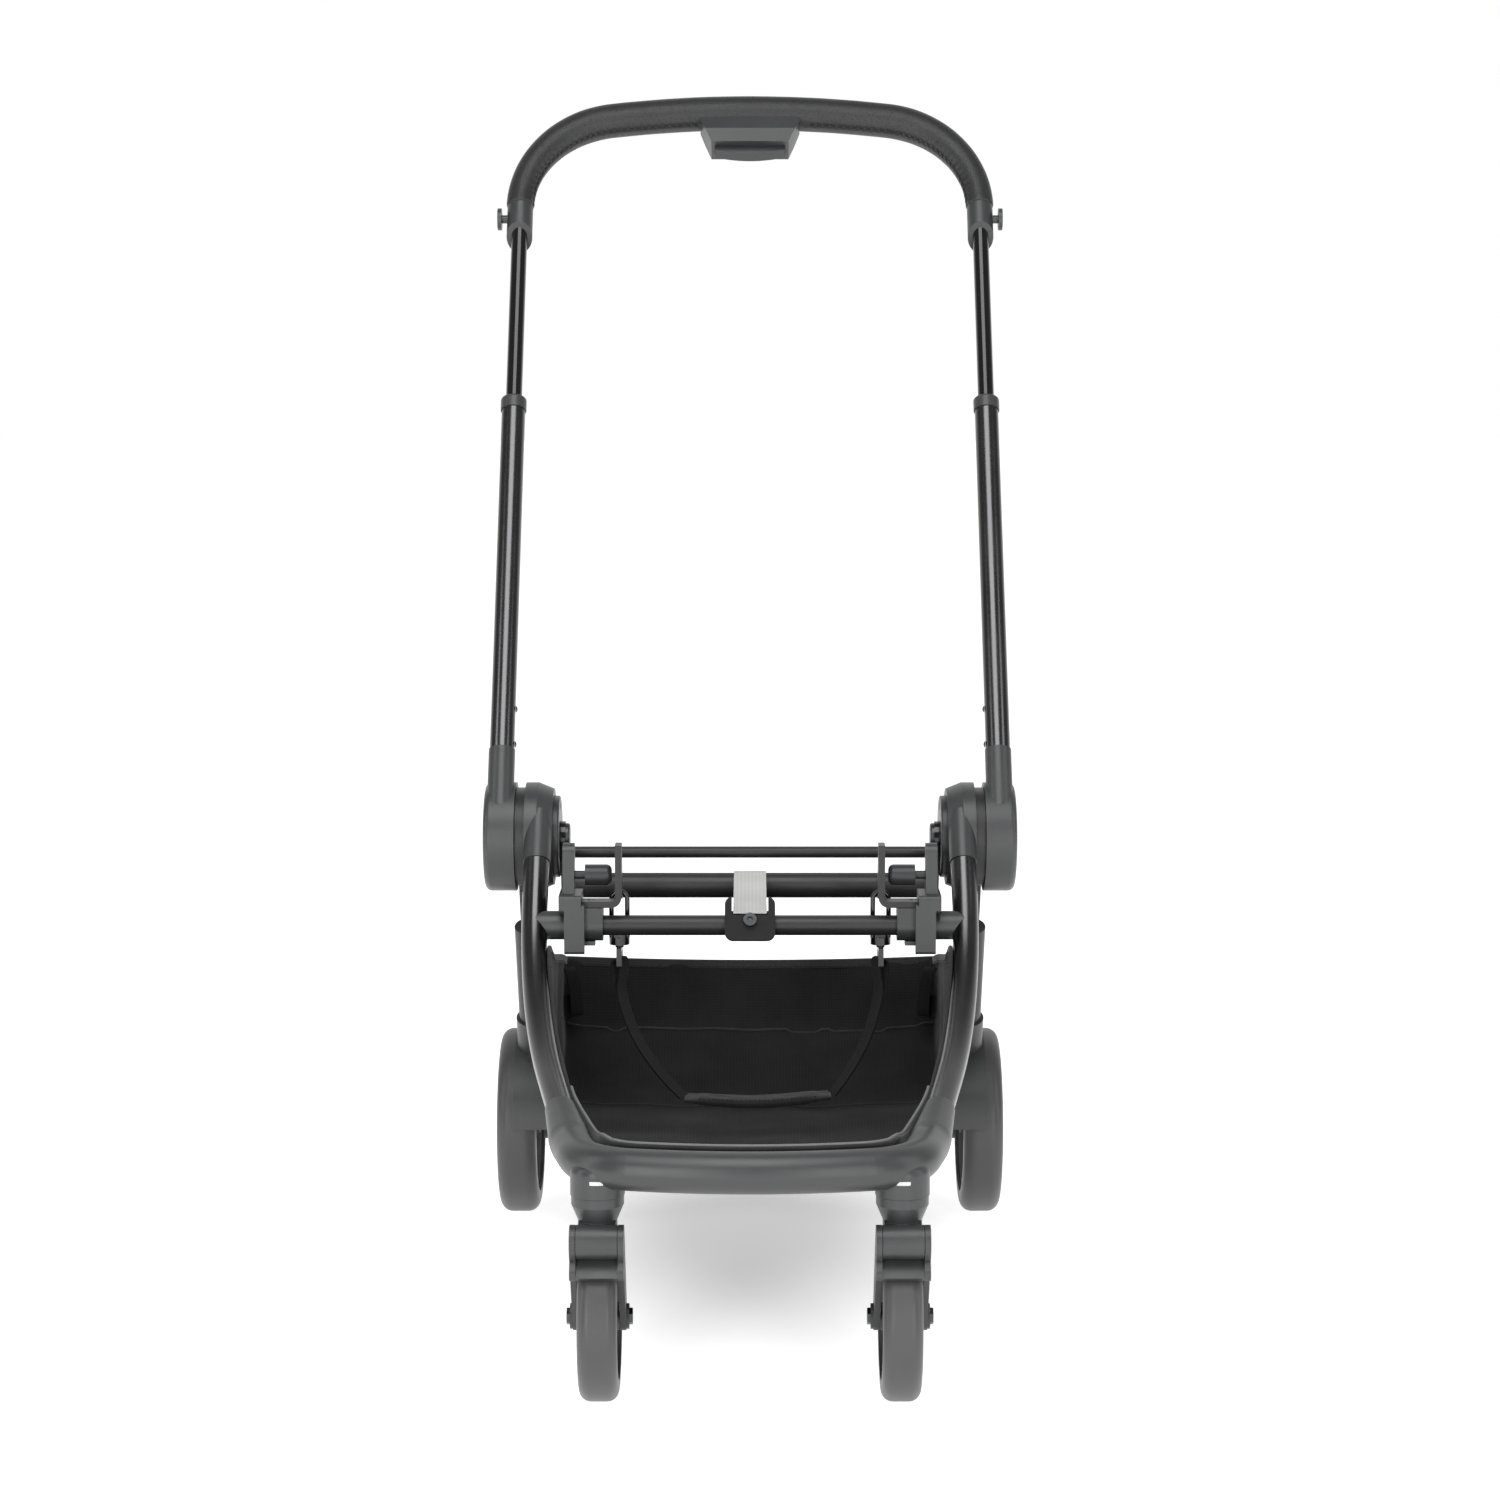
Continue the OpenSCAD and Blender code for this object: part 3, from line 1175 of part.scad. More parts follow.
module rear_rim(side) {
  color(rim_grey) sided(side) translate([rear_x, rear_y, rear_r])
    windowed_rim(rear_rim_r, rear_w / 2 - 4, rear_w / 2 - 1, stub_r + run_fit, 5);
}

// Brake pedal: a sleeve on the axle bar and a ribbed foot plate behind it
module brake_pedal() {
  half = 34;
  color(charcoal) translate([0, hub_y + rear_y, rear_r]) difference() {
    union() {
      x_bar(axle_bar_r + 5, -half, half);
      x_extrude(-half, half) link_2d([0, 3], 6, [46, 16], 3.5);
      for (x = [-20:10:20]) x_extrude(x - 2, x + 2) link_2d([22, 12.5], 2, [44, 18.5], 2);
    }
    x_bar(axle_bar_r + run_fit, -half - 1, half + 1);
  }
}

// Places a shape in the frame of a caster
module at_caster(side) {
  sided(side) translate([caster_x, caster_y, 0]) children();
}

module caster_head(side) {
  top = caster_z - head_gap;
  neck = barrel_z + barrel_r + barrel_gap;
  color(charcoal) at_caster(side) {
    translate([0, 0, top - 8]) cylinder(d = caster_d - 1.5, h = 8);
    translate([0, 0, neck]) cylinder(r1 = barrel_r + 2.3, r2 = caster_d / 2 - 0.75, h = top - 8 - neck);
    translate([0, 0, barrel_z + 3]) cylinder(r = barrel_r + 2.3, h = neck - barrel_z - 2);
    x_extrude(-fork_in + 2, fork_in - 2) link_2d([-barrel_ahead, barrel_z], barrel_r - 1, [0, neck - 8], 9);
    x_bar(barrel_r, -fork_in + 0.3, fork_in - 0.3, -barrel_ahead, barrel_z);
    x_bar(pivot_r, -fork_out, fork_out, -barrel_ahead, barrel_z);
    translate([0, 0, top - 1]) cylinder(r = stem_r, h = stem_len + 1);
  }
}

// Suspension fork: two cheeks from the barrel to the axle, joined by a bridge over the tyre
module caster_fork(side) {
  pivot = [-barrel_ahead, barrel_z];
  axle = [caster_trail, front_r];
  toe = axle + bridge_r * on_circle(bridge_to - 4);
  color(charcoal) at_caster(side) difference() {
    union() {
      for (x = [-fork_out, fork_in]) {
        x_extrude(x, x + cheek_t) {
          link_2d(pivot, barrel_r, axle, barrel_r - 2.4);
          link_2d(mix(pivot, axle, 0.15), 9, toe, 6);
        }
      }
      x_bar(barrel_r - 3.5, -fork_out - axle_boss, -fork_in - 1, axle.x, axle.y);
      x_bar(barrel_r - 3.5, fork_in + 1, fork_out + axle_boss, axle.x, axle.y);
      translate([0, axle.x, axle.y])
        x_ring_arc(bridge_r - bridge_t / 2, bridge_r + bridge_t / 2, -fork_out + 1, fork_out - 1, bridge_from, bridge_to);
    }
    x_bar(barrel_r + barrel_gap, -fork_in - 0.2, fork_in + 0.2, pivot.x, pivot.y);
    x_bar(pivot_r + run_fit, -fork_out - 1, fork_out + 1, pivot.x, pivot.y);
    x_bar(front_axle_r + seat_fit, -fork_out - 9, fork_out + 9, axle.x, axle.y);
  }
}

module front_axle(side) {
  end = fork_out + axle_boss;
  color(steel) at_caster(side) translate([0, caster_trail, front_r]) {
    x_bar(front_axle_r, -end - 1, end + 1);
    for (x = [-end - 3, end]) x_bar(7.5, x, x + 3, $fn = 6);
  }
}

module front_tyre(side) {
  color(rubber_grey) at_caster(side) translate([0, caster_trail, front_r])
    tyre_ring(front_r, front_w, front_rim_r + seat_fit, 10);
}

module front_rim(side) {
  color(rim_grey) at_caster(side) translate([0, caster_trail, front_r]) difference() {
    windowed_rim(front_rim_r, front_w / 2 - 4, front_w / 2 - 0.5, front_axle_r + run_fit, 5);
    x_bar(front_axle_r + run_fit, 0, front_w);
  }
}

front_leg(LEFT);  // front_leg_L
front_leg(RIGHT);  // front_leg_R
front_rail();
leg_hub(LEFT);  // leg_hub_L
leg_hub(RIGHT);  // leg_hub_R
hub_covers();
hub_screws();
leg_knuckles();
lower_cross_tube();
seat_bracket(LEFT);  // seat_bracket_L
seat_bracket(RIGHT);  // seat_bracket_R
hook_plates();
frame_bolts();
strap_bracket();
fold_strap();
basket_floor();
basket_back();
basket_sides();
basket_front();
carry_strap();
carry_pad();
snap_hooks();
latch_plunger(LEFT);  // latch_plunger_L
latch_plunger(RIGHT);  // latch_plunger_R
handle_hub(LEFT);  // handle_hub_L
handle_hub(RIGHT);  // handle_hub_R
handle_tube(LEFT);  // handle_tube_L
handle_tube(RIGHT);  // handle_tube_R
tube_collars();
handle_rivets();
inner_tube(LEFT);  // inner_tube_L
inner_tube(RIGHT);  // inner_tube_R
handlebar();
grip();
end_sleeves();
button_housing();
fold_button();
rear_leg(LEFT);  // rear_leg_L
rear_leg(RIGHT);  // rear_leg_R
rear_links();
hub_shafts();
upper_cross_tube();
latch_rod();
rear_axle();
rear_housings();
rear_tyre(LEFT);  // rear_tyre_L
rear_rim(LEFT);  // rear_rim_L
rear_tyre(RIGHT);  // rear_tyre_R
rear_rim(RIGHT);  // rear_rim_R
brake_pedal();
caster_head(LEFT);  // caster_head_L
caster_head(RIGHT);  // caster_head_R
caster_fork(LEFT);  // caster_fork_L
caster_fork(RIGHT);  // caster_fork_R
front_axle(LEFT);  // front_axle_L
front_axle(RIGHT);  // front_axle_R
front_tyre(LEFT);  // front_tyre_L
front_rim(LEFT);  // front_rim_L
front_tyre(RIGHT);  // front_tyre_R
front_rim(RIGHT);  // front_rim_R
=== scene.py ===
import json
import math

import bpy
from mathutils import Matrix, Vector, noise


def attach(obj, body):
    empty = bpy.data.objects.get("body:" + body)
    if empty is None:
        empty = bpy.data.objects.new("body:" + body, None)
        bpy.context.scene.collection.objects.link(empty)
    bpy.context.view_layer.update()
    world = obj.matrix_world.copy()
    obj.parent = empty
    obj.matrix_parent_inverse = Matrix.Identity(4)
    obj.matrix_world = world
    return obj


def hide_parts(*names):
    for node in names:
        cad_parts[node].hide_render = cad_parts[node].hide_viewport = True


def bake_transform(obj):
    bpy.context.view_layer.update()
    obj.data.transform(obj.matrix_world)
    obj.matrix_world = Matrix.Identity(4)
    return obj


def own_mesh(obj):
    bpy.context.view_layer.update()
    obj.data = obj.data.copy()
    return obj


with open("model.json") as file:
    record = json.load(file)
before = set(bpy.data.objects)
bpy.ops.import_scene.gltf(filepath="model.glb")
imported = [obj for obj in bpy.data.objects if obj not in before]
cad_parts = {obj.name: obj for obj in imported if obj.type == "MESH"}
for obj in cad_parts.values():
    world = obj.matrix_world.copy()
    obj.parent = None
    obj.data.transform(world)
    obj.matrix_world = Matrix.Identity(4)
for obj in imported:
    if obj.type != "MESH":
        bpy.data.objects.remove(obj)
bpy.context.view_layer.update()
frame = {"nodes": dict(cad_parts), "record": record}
parts = frame["nodes"]

# Sizes are in millimetres, y from the fold axis and z from the floor, until place() turns them to metres
MM = 0.001
HUB_Y, HUB_Z = 42.2401, 422.0


def place(x, y, z):
    """A point with y measured from the fold axis, in the frame's metres."""
    return Vector((x, y + HUB_Y, z)) * MM


def mix(a, b, k):
    """The value or point at share k of the way from a to b."""
    return a + (b - a) * k


def smooth(k):
    """Eased share between 0 and 1."""
    k = min(1.0, max(0.0, k))
    return k * k * (3 - 2 * k)


def bell(d, width):
    """Smooth bump of height 1 around 0."""
    return math.exp(-(d / width) ** 2)


def along(table, at):
    """Straight interpolation in a table of (place, value)."""
    if at <= table[0][0]:
        return table[0][1]
    for (p, v), (q, w) in zip(table, table[1:]):
        if at <= q:
            return mix(v, w, (at - p) / (q - p))
    return table[-1][1]


# Finishes

def linear(hex_colour):
    """A colour written as sRGB hex, as the linear colour a shader takes."""
    out = []
    for i in (1, 3, 5):
        c = int(hex_colour[i:i + 2], 16) / 255
        out.append(c / 12.92 if c <= 0.04045 else ((c + 0.055) / 1.055) ** 2.4)
    return (*out, 1.0)


def put(tree, kind, values=None, links=None, **settings):
    """Adds a node with its settings, socket values and links (socket: (node, output))."""
    made = tree.nodes.new(kind)
    for key, value in settings.items():
        setattr(made, key, value)
    for key, value in (values or {}).items():
        made.inputs[key].default_value = value
    for key, (source, output) in (links or {}).items():
        tree.links.new(source.outputs[output], made.inputs[key])
    return made


def per_mm(size):
    """Texture scale at which one cell of the pattern is this many millimetres."""
    return 1 / (size * MM)


def blank_finish(name):
    """A new finish and its empty node tree."""
    finish = bpy.data.materials.new(name)
    finish.use_nodes = True
    finish.node_tree.nodes.clear()
    return finish, finish.node_tree


def patchy(tree, where, size, detail, rough):
    """Soft noise fixed to the piece, with patches of this many millimetres."""
    return put(tree, "ShaderNodeTexNoise", {"Scale": per_mm(size), "Detail": detail, "Roughness": rough},
               {"Vector": (where, "Object")})


def two_tone(tree, dark, light, source, output):
    """A colour between two, by the value of another node."""
    return put(tree, "ShaderNodeMix", {"A": linear(dark), "B": linear(light)},
               {"Factor": (source, output)}, data_type="RGBA")


def calc(tree, operation, *sources):
    """A math node on the outputs (node, output) of other nodes."""
    return put(tree, "ShaderNodeMath", None, dict(enumerate(sources)), operation=operation)


def grained_finish(name, dark, light, rough, grain_mm, bump, patch_mm=60, metallic=0.0, **shader):
    """A finish of two near colours in soft patches, uneven roughness and a fine grain in relief."""
    finish, tree = blank_finish(name)
    where = put(tree, "ShaderNodeTexCoord")
    patches = patchy(tree, where, patch_mm, 3.0, 0.55)
    grain = patchy(tree, where, grain_mm, 2.0, 0.6)
    tone = two_tone(tree, dark, light, patches, "Fac")
    spread = put(tree, "ShaderNodeMapRange", {"From Min": 0.3, "From Max": 0.7, "To Min": rough - 0.04,
                                              "To Max": rough + 0.05}, {"Value": (patches, "Fac")})
    relief = put(tree, "ShaderNodeBump", {"Strength": bump, "Distance": 0.2 * MM},
                 {"Height": (grain, "Fac")})
    body = put(tree, "ShaderNodeBsdfPrincipled", {"Metallic": metallic, **shader},
               {"Base Color": (tone, "Result"), "Roughness": (spread, "Result"),
                "Normal": (relief, "Normal")})
    put(tree, "ShaderNodeOutputMaterial", links={"Surface": (body, "BSDF")})
    return finish


# A wave pattern turns this many radians a unit, and one thread of the weave takes half a turn
WAVE_RADIANS = 20


def woven_finish(name, dark, light, thread_mm, bump, sheen, rough=0.8):
    """Plain weave: two crossing sets of threads on the piece's own cloth map, with worn patches."""
    finish, tree = blank_finish(name)
    cloth_map = put(tree, "ShaderNodeUVMap", uv_map="weave")
    where = put(tree, "ShaderNodeTexCoord")
    warp, weft = [put(tree, "ShaderNodeTexWave", {"Scale": per_mm(thread_mm) / WAVE_RADIANS * math.pi,
                                                  "Distortion": 0.6, "Detail": 1.0, "Detail Scale": 2.0},
                      {"Vector": (cloth_map, "UV")}, bands_direction=way) for way in "XY"]
    crossed = calc(tree, "MULTIPLY", (warp, "Fac"), (weft, "Fac"))
    patches = patchy(tree, where, 45, 4.0, 0.6)
    shade = put(tree, "ShaderNodeMath", {1: 0.55}, {0: (crossed, "Value")}, operation="MULTIPLY")
    shade = calc(tree, "ADD", (shade, "Value"), (patches, "Fac"))
    shade = put(tree, "ShaderNodeMapRange", {"From Min": 0.3, "From Max": 1.0}, {"Value": (shade, "Value")})
    tone = two_tone(tree, dark, light, shade, "Result")
    relief = put(tree, "ShaderNodeBump", {"Strength": bump, "Distance": 0.25 * MM},
                 {"Height": (crossed, "Value")})
    body = put(tree, "ShaderNodeBsdfPrincipled", {"Roughness": rough, "Specular IOR Level": 0.25,
                                                  "Sheen Weight": sheen, "Sheen Roughness": 0.45},
               {"Base Color": (tone, "Result"), "Normal": (relief, "Normal")})
    put(tree, "ShaderNodeOutputMaterial", links={"Surface": (body, "BSDF")})
    return finish


# Anodised aluminium tube: metallic charcoal with long soft highlights, faint drawn texture
anodised_tube = grained_finish("anodised_aluminium_tube", "#5c5c5d", "#656566", 0.23, 1.6, 0.06, 90,
                               metallic=1.0)
# Powder coat on the cross tubes and hook plates: satin black
powder_coat = grained_finish("satin_powder_coat", "#29292a", "#323233", 0.4, 1.6, 0.12, 60,
                             **{"Specular IOR Level": 0.5})
# Matt nylon plate of the fold strap's bracket: near black, no shine
matt_nylon = grained_finish("matt_nylon", "#1d1d1e", "#262627", 0.6, 1.2, 0.2, 30,
                            **{"Specular IOR Level": 0.25})
# Gloss-painted inner tube: near black, mirror-like with a little orange peel
painted_tube = grained_finish("gloss_painted_tube", "#0d0d0e", "#131314", 0.16, 2.5, 0.05, 120,
                              **{"Coat Weight": 0.4, "Coat Roughness": 0.08})
# Glass-filled nylon from a spark-eroded tool: black with a soft shine and an even grain, drawn at 1.4 mm
grained_nylon = grained_finish("glass_filled_nylon", "#393a3b", "#434445", 0.38, 1.4, 0.22, 40,
                               **{"Specular IOR Level": 0.65})
# Acetal in a polished tool: smooth black with broad highlights
smooth_acetal = grained_finish("moulded_acetal", "#2f3032", "#38393b", 0.34, 2.2, 0.08, 50)
# Zinc-plated steel screws and pins: dark passivated metal with slight mottling
plated_steel = grained_finish("zinc_plated_steel", "#4a4b4d", "#5a5b5d", 0.36, 0.9, 0.10, 12, metallic=1.0)
# Foamed polyurethane tyre: closed-cell skin, black with soft highlights, drawn at 2 mm to show
foam_tyre = grained_finish("foamed_polyurethane_tyre", "#484849", "#525253", 0.42, 2.0, 0.16, 35,
                           **{"Specular IOR Level": 0.65})
# Polypropylene rim: pale grey, moulded with a light grain
moulded_rim = grained_finish("polypropylene_rim", "#6f7173", "#7b7d80", 0.45, 1.6, 0.12, 40)
# Sewing thread: twisted polyester, almost black
sewing_thread = grained_finish("polyester_thread", "#19191a", "#232324", 0.7, 0.8, 0.3, 20)
# Reflective inlay of pale polycarbonate on the caster housings
pale_inlay = grained_finish("polycarbonate_inlay", "#f6f6f4", "#ffffff", 0.3, 1.5, 0.03, 10)

# Woven polyester of the basket: plain weave, threads of 0.6 mm drawn at 1.5 mm to show
basket_cloth = woven_finish("woven_polyester", "#18181a", "#29292a", 1.5, 0.5, 0.2)
# Black polyester webbing: tight ribs of 1.6 mm
black_webbing = woven_finish("black_polyester_webbing", "#0f0f10", "#1d1d1e", 1.6, 0.7, 0.08)
# Silver-grey polyester webbing of the fold strap: ribs of 1.8 mm
grey_webbing = woven_finish("grey_polyester_webbing", "#d6d6d4", "#e8e8e6", 1.8, 0.6, 0.1, 0.7)
# Binding tape: finer weave than the cloth, a little lighter where it is rubbed
binding_tape = woven_finish("binding_tape", "#2b2b2c", "#434344", 1.2, 0.6, 0.3)
# Piping at the front edge: smooth vinyl cord cover, mid grey
vinyl_piping = grained_finish("vinyl_piping", "#77787a", "#838486", 0.45, 1.5, 0.1, 15)


def leather_finish():
    """Polyurethane leatherette: small pebbles with painted shade darkening the creases, softly shining on
    top.
    """
    finish, tree = blank_finish("polyurethane_leatherette")
    where = put(tree, "ShaderNodeTexCoord")
    pebbles = put(tree, "ShaderNodeTexVoronoi", {"Scale": per_mm(2.0), "Randomness": 0.9},
                  {"Vector": (where, "Object")}, feature="DISTANCE_TO_EDGE")
    patches = patchy(tree, where, 30, 3.0, 0.5)
    crease = put(tree, "ShaderNodeMapRange", {"From Min": 0.0, "From Max": 0.12},
                 {"Value": (pebbles, "Distance")})
    tone = two_tone(tree, "#2d2d2e", "#393a3a", patches, "Fac")
    # Painted shade: the creases between the pebbles are darkened towards #1c1c1d
    crease_painted_shade = put(tree, "ShaderNodeMix", {"A": linear("#1c1c1d")},
               {"Factor": (crease, "Result"), "B": (tone, "Result")}, data_type="RGBA")
    dull = put(tree, "ShaderNodeMapRange", {"To Min": 0.55, "To Max": 0.4}, {"Value": (crease, "Result")})
    relief = put(tree, "ShaderNodeBump", {"Strength": 0.22, "Distance": 0.3 * MM},
                 {"Height": (crease, "Result")})
    body = put(tree, "ShaderNodeBsdfPrincipled", {"Specular IOR Level": 0.45},
               {"Base Color": (crease_painted_shade, "Result"), "Roughness": (dull, "Result"),
                "Normal": (relief, "Normal")})
    put(tree, "ShaderNodeOutputMaterial", links={"Surface": (body, "BSDF")})
    return finish


leatherette = leather_finish()

finish_of_slot = {
    "satin_tube": anodised_tube, "gloss_tube": painted_tube, "moulding": grained_nylon,
    "gloss_moulding": smooth_acetal, "hardware": plated_steel, "leatherette": leatherette,
    "cloth": basket_cloth, "webbing": grey_webbing, "tyre": foam_tyre, "rim": moulded_rim,
}
finish_of_node = dict.fromkeys(("upper_cross_tube", "lower_cross_tube", "latch_rod", "hook_plates",
                                "rear_leg_L", "rear_leg_R"), powder_coat)
finish_of_node["strap_bracket"] = matt_nylon
for row in frame["record"]["subparts"]:
    mesh = parts[row["node"]].data
    mesh.materials.clear()
    mesh.materials.append(finish_of_node.get(row["node"], finish_of_slot[row["material_slot"]]))


# Modelling steps that several pieces share

def name_piece(name, finish, body=None):
    """Names the active object, gives it its finish and, where it moves with one body, its body."""
    piece = bpy.context.object
    piece.name = piece.data.name = name
    piece.data.materials.clear()
    piece.data.materials.append(finish)
    if body:
        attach(piece, body)
    return piece


def cloth_grid(columns, rows, point, weave):
    """A flat grid of that many panes, moved to point(u, v), with weave(u, v) in metres as its cloth map."""
    bpy.ops.object.select_all(action="DESELECT")
    bpy.ops.mesh.primitive_grid_add(x_subdivisions=columns, y_subdivisions=rows, size=1)
    piece = bpy.context.object
    mesh = piece.data
    share = [(v.co.x + 0.5, v.co.y + 0.5) for v in mesh.vertices]
    mesh.uv_layers[0].name = "weave"
    for loop in mesh.loops:
        mesh.uv_layers[0].data[loop.index].uv = weave(*share[loop.vertex_index])
    for vertex, (u, v) in zip(mesh.vertices, share):
        vertex.co = point(u, v)
    mesh.update()
    return piece


def apply_modifier(kind, **settings):
    """Adds a modifier to the active object with its settings and applies it."""
    bpy.ops.object.modifier_add(type=kind)
    made = bpy.context.object.modifiers[-1]
    for key, value in settings.items():
        setattr(made, key, value)
    bpy.ops.object.modifier_apply(modifier=made.name)


def select_vertices(piece, test):
    """Selects the vertices that pass a test, and goes on in edit mode."""
    bpy.ops.object.mode_set(mode="EDIT")
    bpy.ops.mesh.select_all(action="DESELECT")
    bpy.ops.object.mode_set(mode="OBJECT")
    for vertex in piece.data.vertices:
        vertex.select = test(vertex)
    bpy.ops.object.mode_set(mode="EDIT")


def run_lengths(points):
    """Distance from the first point to each point of a run."""
    out = [0.0]
    for p, q in zip(points, points[1:]):
        out.append(out[-1] + (q - p).length)
    return out


def rounded_run(points, steps):
    """A smooth curve through the points, as evenly spaced points."""
    ends = [points[0] * 2 - points[1]] + list(points) + [points[-1] * 2 - points[-2]]
    fine, cuts = [], 12
    for i in range(1, len(ends) - 2):
        p, q, r, s = ends[i - 1:i + 3]
        for j in range(cuts):
            t = j / cuts
            fine.append((q * 2 + (r - p) * t + (p * 2 - q * 5 + r * 4 - s) * t * t
                         + (q * 3 - p - r * 3 + s) * t ** 3) / 2)
    fine.append(points[-1].copy())
    lengths = run_lengths(fine)
    out, j = [], 0
    for i in range(steps + 1):
        target = lengths[-1] * i / steps
        while j < len(fine) - 2 and lengths[j + 1] < target:
            j += 1
        k = (target - lengths[j]) / max(1e-9, lengths[j + 1] - lengths[j])
        out.append(fine[j].lerp(fine[j + 1], min(1.0, k)))
    return out


def ribbon(spine, across, width, thick, columns=6):
    """A flat band along a run of points; across gives its width direction at each point."""
    lengths = run_lengths(spine)
    last = len(spine) - 1

    def point(u, v):
        i = round(v * last)
        return spine[i] + across[i] * (u - 0.5) * width

    piece = cloth_grid(columns, last, point, lambda u, v: (u * width, lengths[round(v * last)]))
    apply_modifier("SOLIDIFY", thickness=thick, offset=0.0)
    bpy.ops.object.shade_smooth_by_angle(angle=math.radians(40))
    return piece


def threads(runs, radius, sides=2):
    """Round threads along runs of points, as one mesh."""
    bpy.ops.object.select_all(action="DESELECT")
    line = bpy.data.curves.new("thread", "CURVE")
    line.dimensions = "3D"
    line.bevel_depth = radius
    line.bevel_resolution = sides
    line.use_fill_caps = True
    for run in runs:
        spline = line.splines.new("POLY")
        spline.points.add(len(run) - 1)
        for knot, p in zip(spline.points, run):
            knot.co = (*p, 1)
    made = bpy.data.objects.new("thread", line)
    bpy.context.scene.collection.objects.link(made)
    made.select_set(True)
    bpy.context.view_layer.objects.active = made
    bpy.ops.object.convert(target="MESH")
    bpy.ops.object.shade_smooth()
    return bpy.context.object


def stitches(run, out, pitch, length, rise):
    """Short thread runs along a line: each stitch rises a little along out at its middle."""
    lengths = run_lengths(run)
    made, at = [], pitch / 2
    while at + length < lengths[-1]:
        marks = []
        for k in (0, 0.25, 0.5, 0.75, 1):
            target = at + k * length
            j = max(i for i in range(len(lengths) - 1) if lengths[i] <= target)
            share = (target - lengths[j]) / (lengths[j + 1] - lengths[j])
            marks.append(run[j].lerp(run[j + 1], share) + out[j] * rise * (4 * k * (1 - k) - 0.35))
        made.append(marks)
        at += pitch
    return made


# Camera as solved from the photograph: sizes in pixels, tilt in degrees down
PHOTO_WIDE, FOCAL, TILT = 1500, 3315, 7.65
lens = bpy.data.cameras.new("photo_camera")
lens.sensor_width = 36
lens.lens = lens.sensor_width * FOCAL / PHOTO_WIDE
camera = bpy.data.objects.new("photo_camera", lens)
camera.location = place(0, -3200, 937)
camera.rotation_euler = (math.radians(90 - TILT), 0, 0)
bpy.context.scene.collection.objects.link(camera)
bpy.context.scene.camera = camera

# Grip: leatherette round the bent bar, drawn together by a crossed seam on its lower, inner side

LEAN = math.radians(32)
HANDLE_X, HANDLE_OFFSET, BAR_W, CORNER_R, BOW_R = 242.0, 39.0, 822.0, 110.0, 1100.0
CORNER_X = HANDLE_X - CORNER_R
CORNER_W = BAR_W - BOW_R + math.sqrt((BOW_R - CORNER_R) ** 2 - CORNER_X ** 2)
BOW_HALF = math.asin(CORNER_X / (BOW_R - CORNER_R))
CORNER_TURN = math.pi / 2 - BOW_HALF
GRIP_END, GRIP_MID, GRIP_MOUTH, END_DIP = 14.5, 18.0, 10.3, 0.9
SEAM_AT, SEAM_END = math.radians(199), 6.0
STITCH, STITCH_HALF = 7.6, 3.0
HOUSING_HALF = 56.0


def on_handle(x, y, w):
    """A point in the leaning handle's plane: x across, y back, w up along the tubes."""
    back = y - HANDLE_OFFSET
    return place(x, back * math.cos(LEAN) + w * math.sin(LEAN),
                 HUB_Z - back * math.sin(LEAN) + w * math.cos(LEAN))


def bar_centre(a):
    """Centre of the bent bar at angle a, in the handle's plane."""
    if a <= CORNER_TURN:
        return CORNER_X + CORNER_R * math.cos(a), CORNER_W + CORNER_R * math.sin(a)
    if a >= math.pi - CORNER_TURN:
        return -CORNER_X + CORNER_R * math.cos(a), CORNER_W + CORNER_R * math.sin(a)
    return BOW_R * math.cos(a), BAR_W - BOW_R + BOW_R * math.sin(a)


def bar_length(a):
    """Length along the bar's centre from its right end to angle a."""
    bow = min(max(a, CORNER_TURN), math.pi - CORNER_TURN) - CORNER_TURN
    corners = min(a, CORNER_TURN) + max(0.0, a - math.pi + CORNER_TURN)
    return corners * CORNER_R + bow * BOW_R


def grip_radius(a):
    """Radius of the wrap, which swells towards the bow."""
    return mix(GRIP_END, GRIP_MID, smooth(min(a, math.pi - a) / CORNER_TURN))


def grip_relief(a, b):
    """How far the leather stands proud at angle a along and b round the bar: seam, puckers, creases."""
    d = grip_radius(a) * (b - SEAM_AT)
    s = bar_length(a)
    sewn = smooth((abs(bar_centre(a)[0]) - HOUSING_HALF + 2) / 6)
    phase = math.cos(2 * math.pi * s / STITCH)
    out = sewn * (0.30 * bell(abs(d) - 3.4, 2.0) - 0.95 * bell(d, 0.8))
    out += sewn * 0.30 * phase * bell(abs(d) - 3.0, 1.6)
    out += sewn * 0.16 * phase * bell(abs(d) - 6.0, 3.2)
    bent = sum(smooth(1 - abs(at - CORNER_TURN / 2) / CORNER_TURN) for at in (a, math.pi - a))
    out += 0.22 * bent * noise.noise(Vector((s / 9, 3 * math.cos(b), 3 * math.sin(b)))) * bell(d, 14)
    out += 0.12 * noise.noise(Vector((s / 22, 2 * math.cos(b), 2 * math.sin(b) + 7)))
    end = min(s, bar_length(math.pi) - s)
    return out - END_DIP * bell(end, 1.1)


def grip_point(a, b, rise=0.0):
    """A point on the leather, lifted by rise."""
    r = grip_radius(a) + grip_relief(a, b) + rise
    x, w = bar_centre(a)
    return on_handle(x + r * math.cos(b) * math.cos(a), r * math.sin(b), w + r * math.cos(b) * math.sin(a))


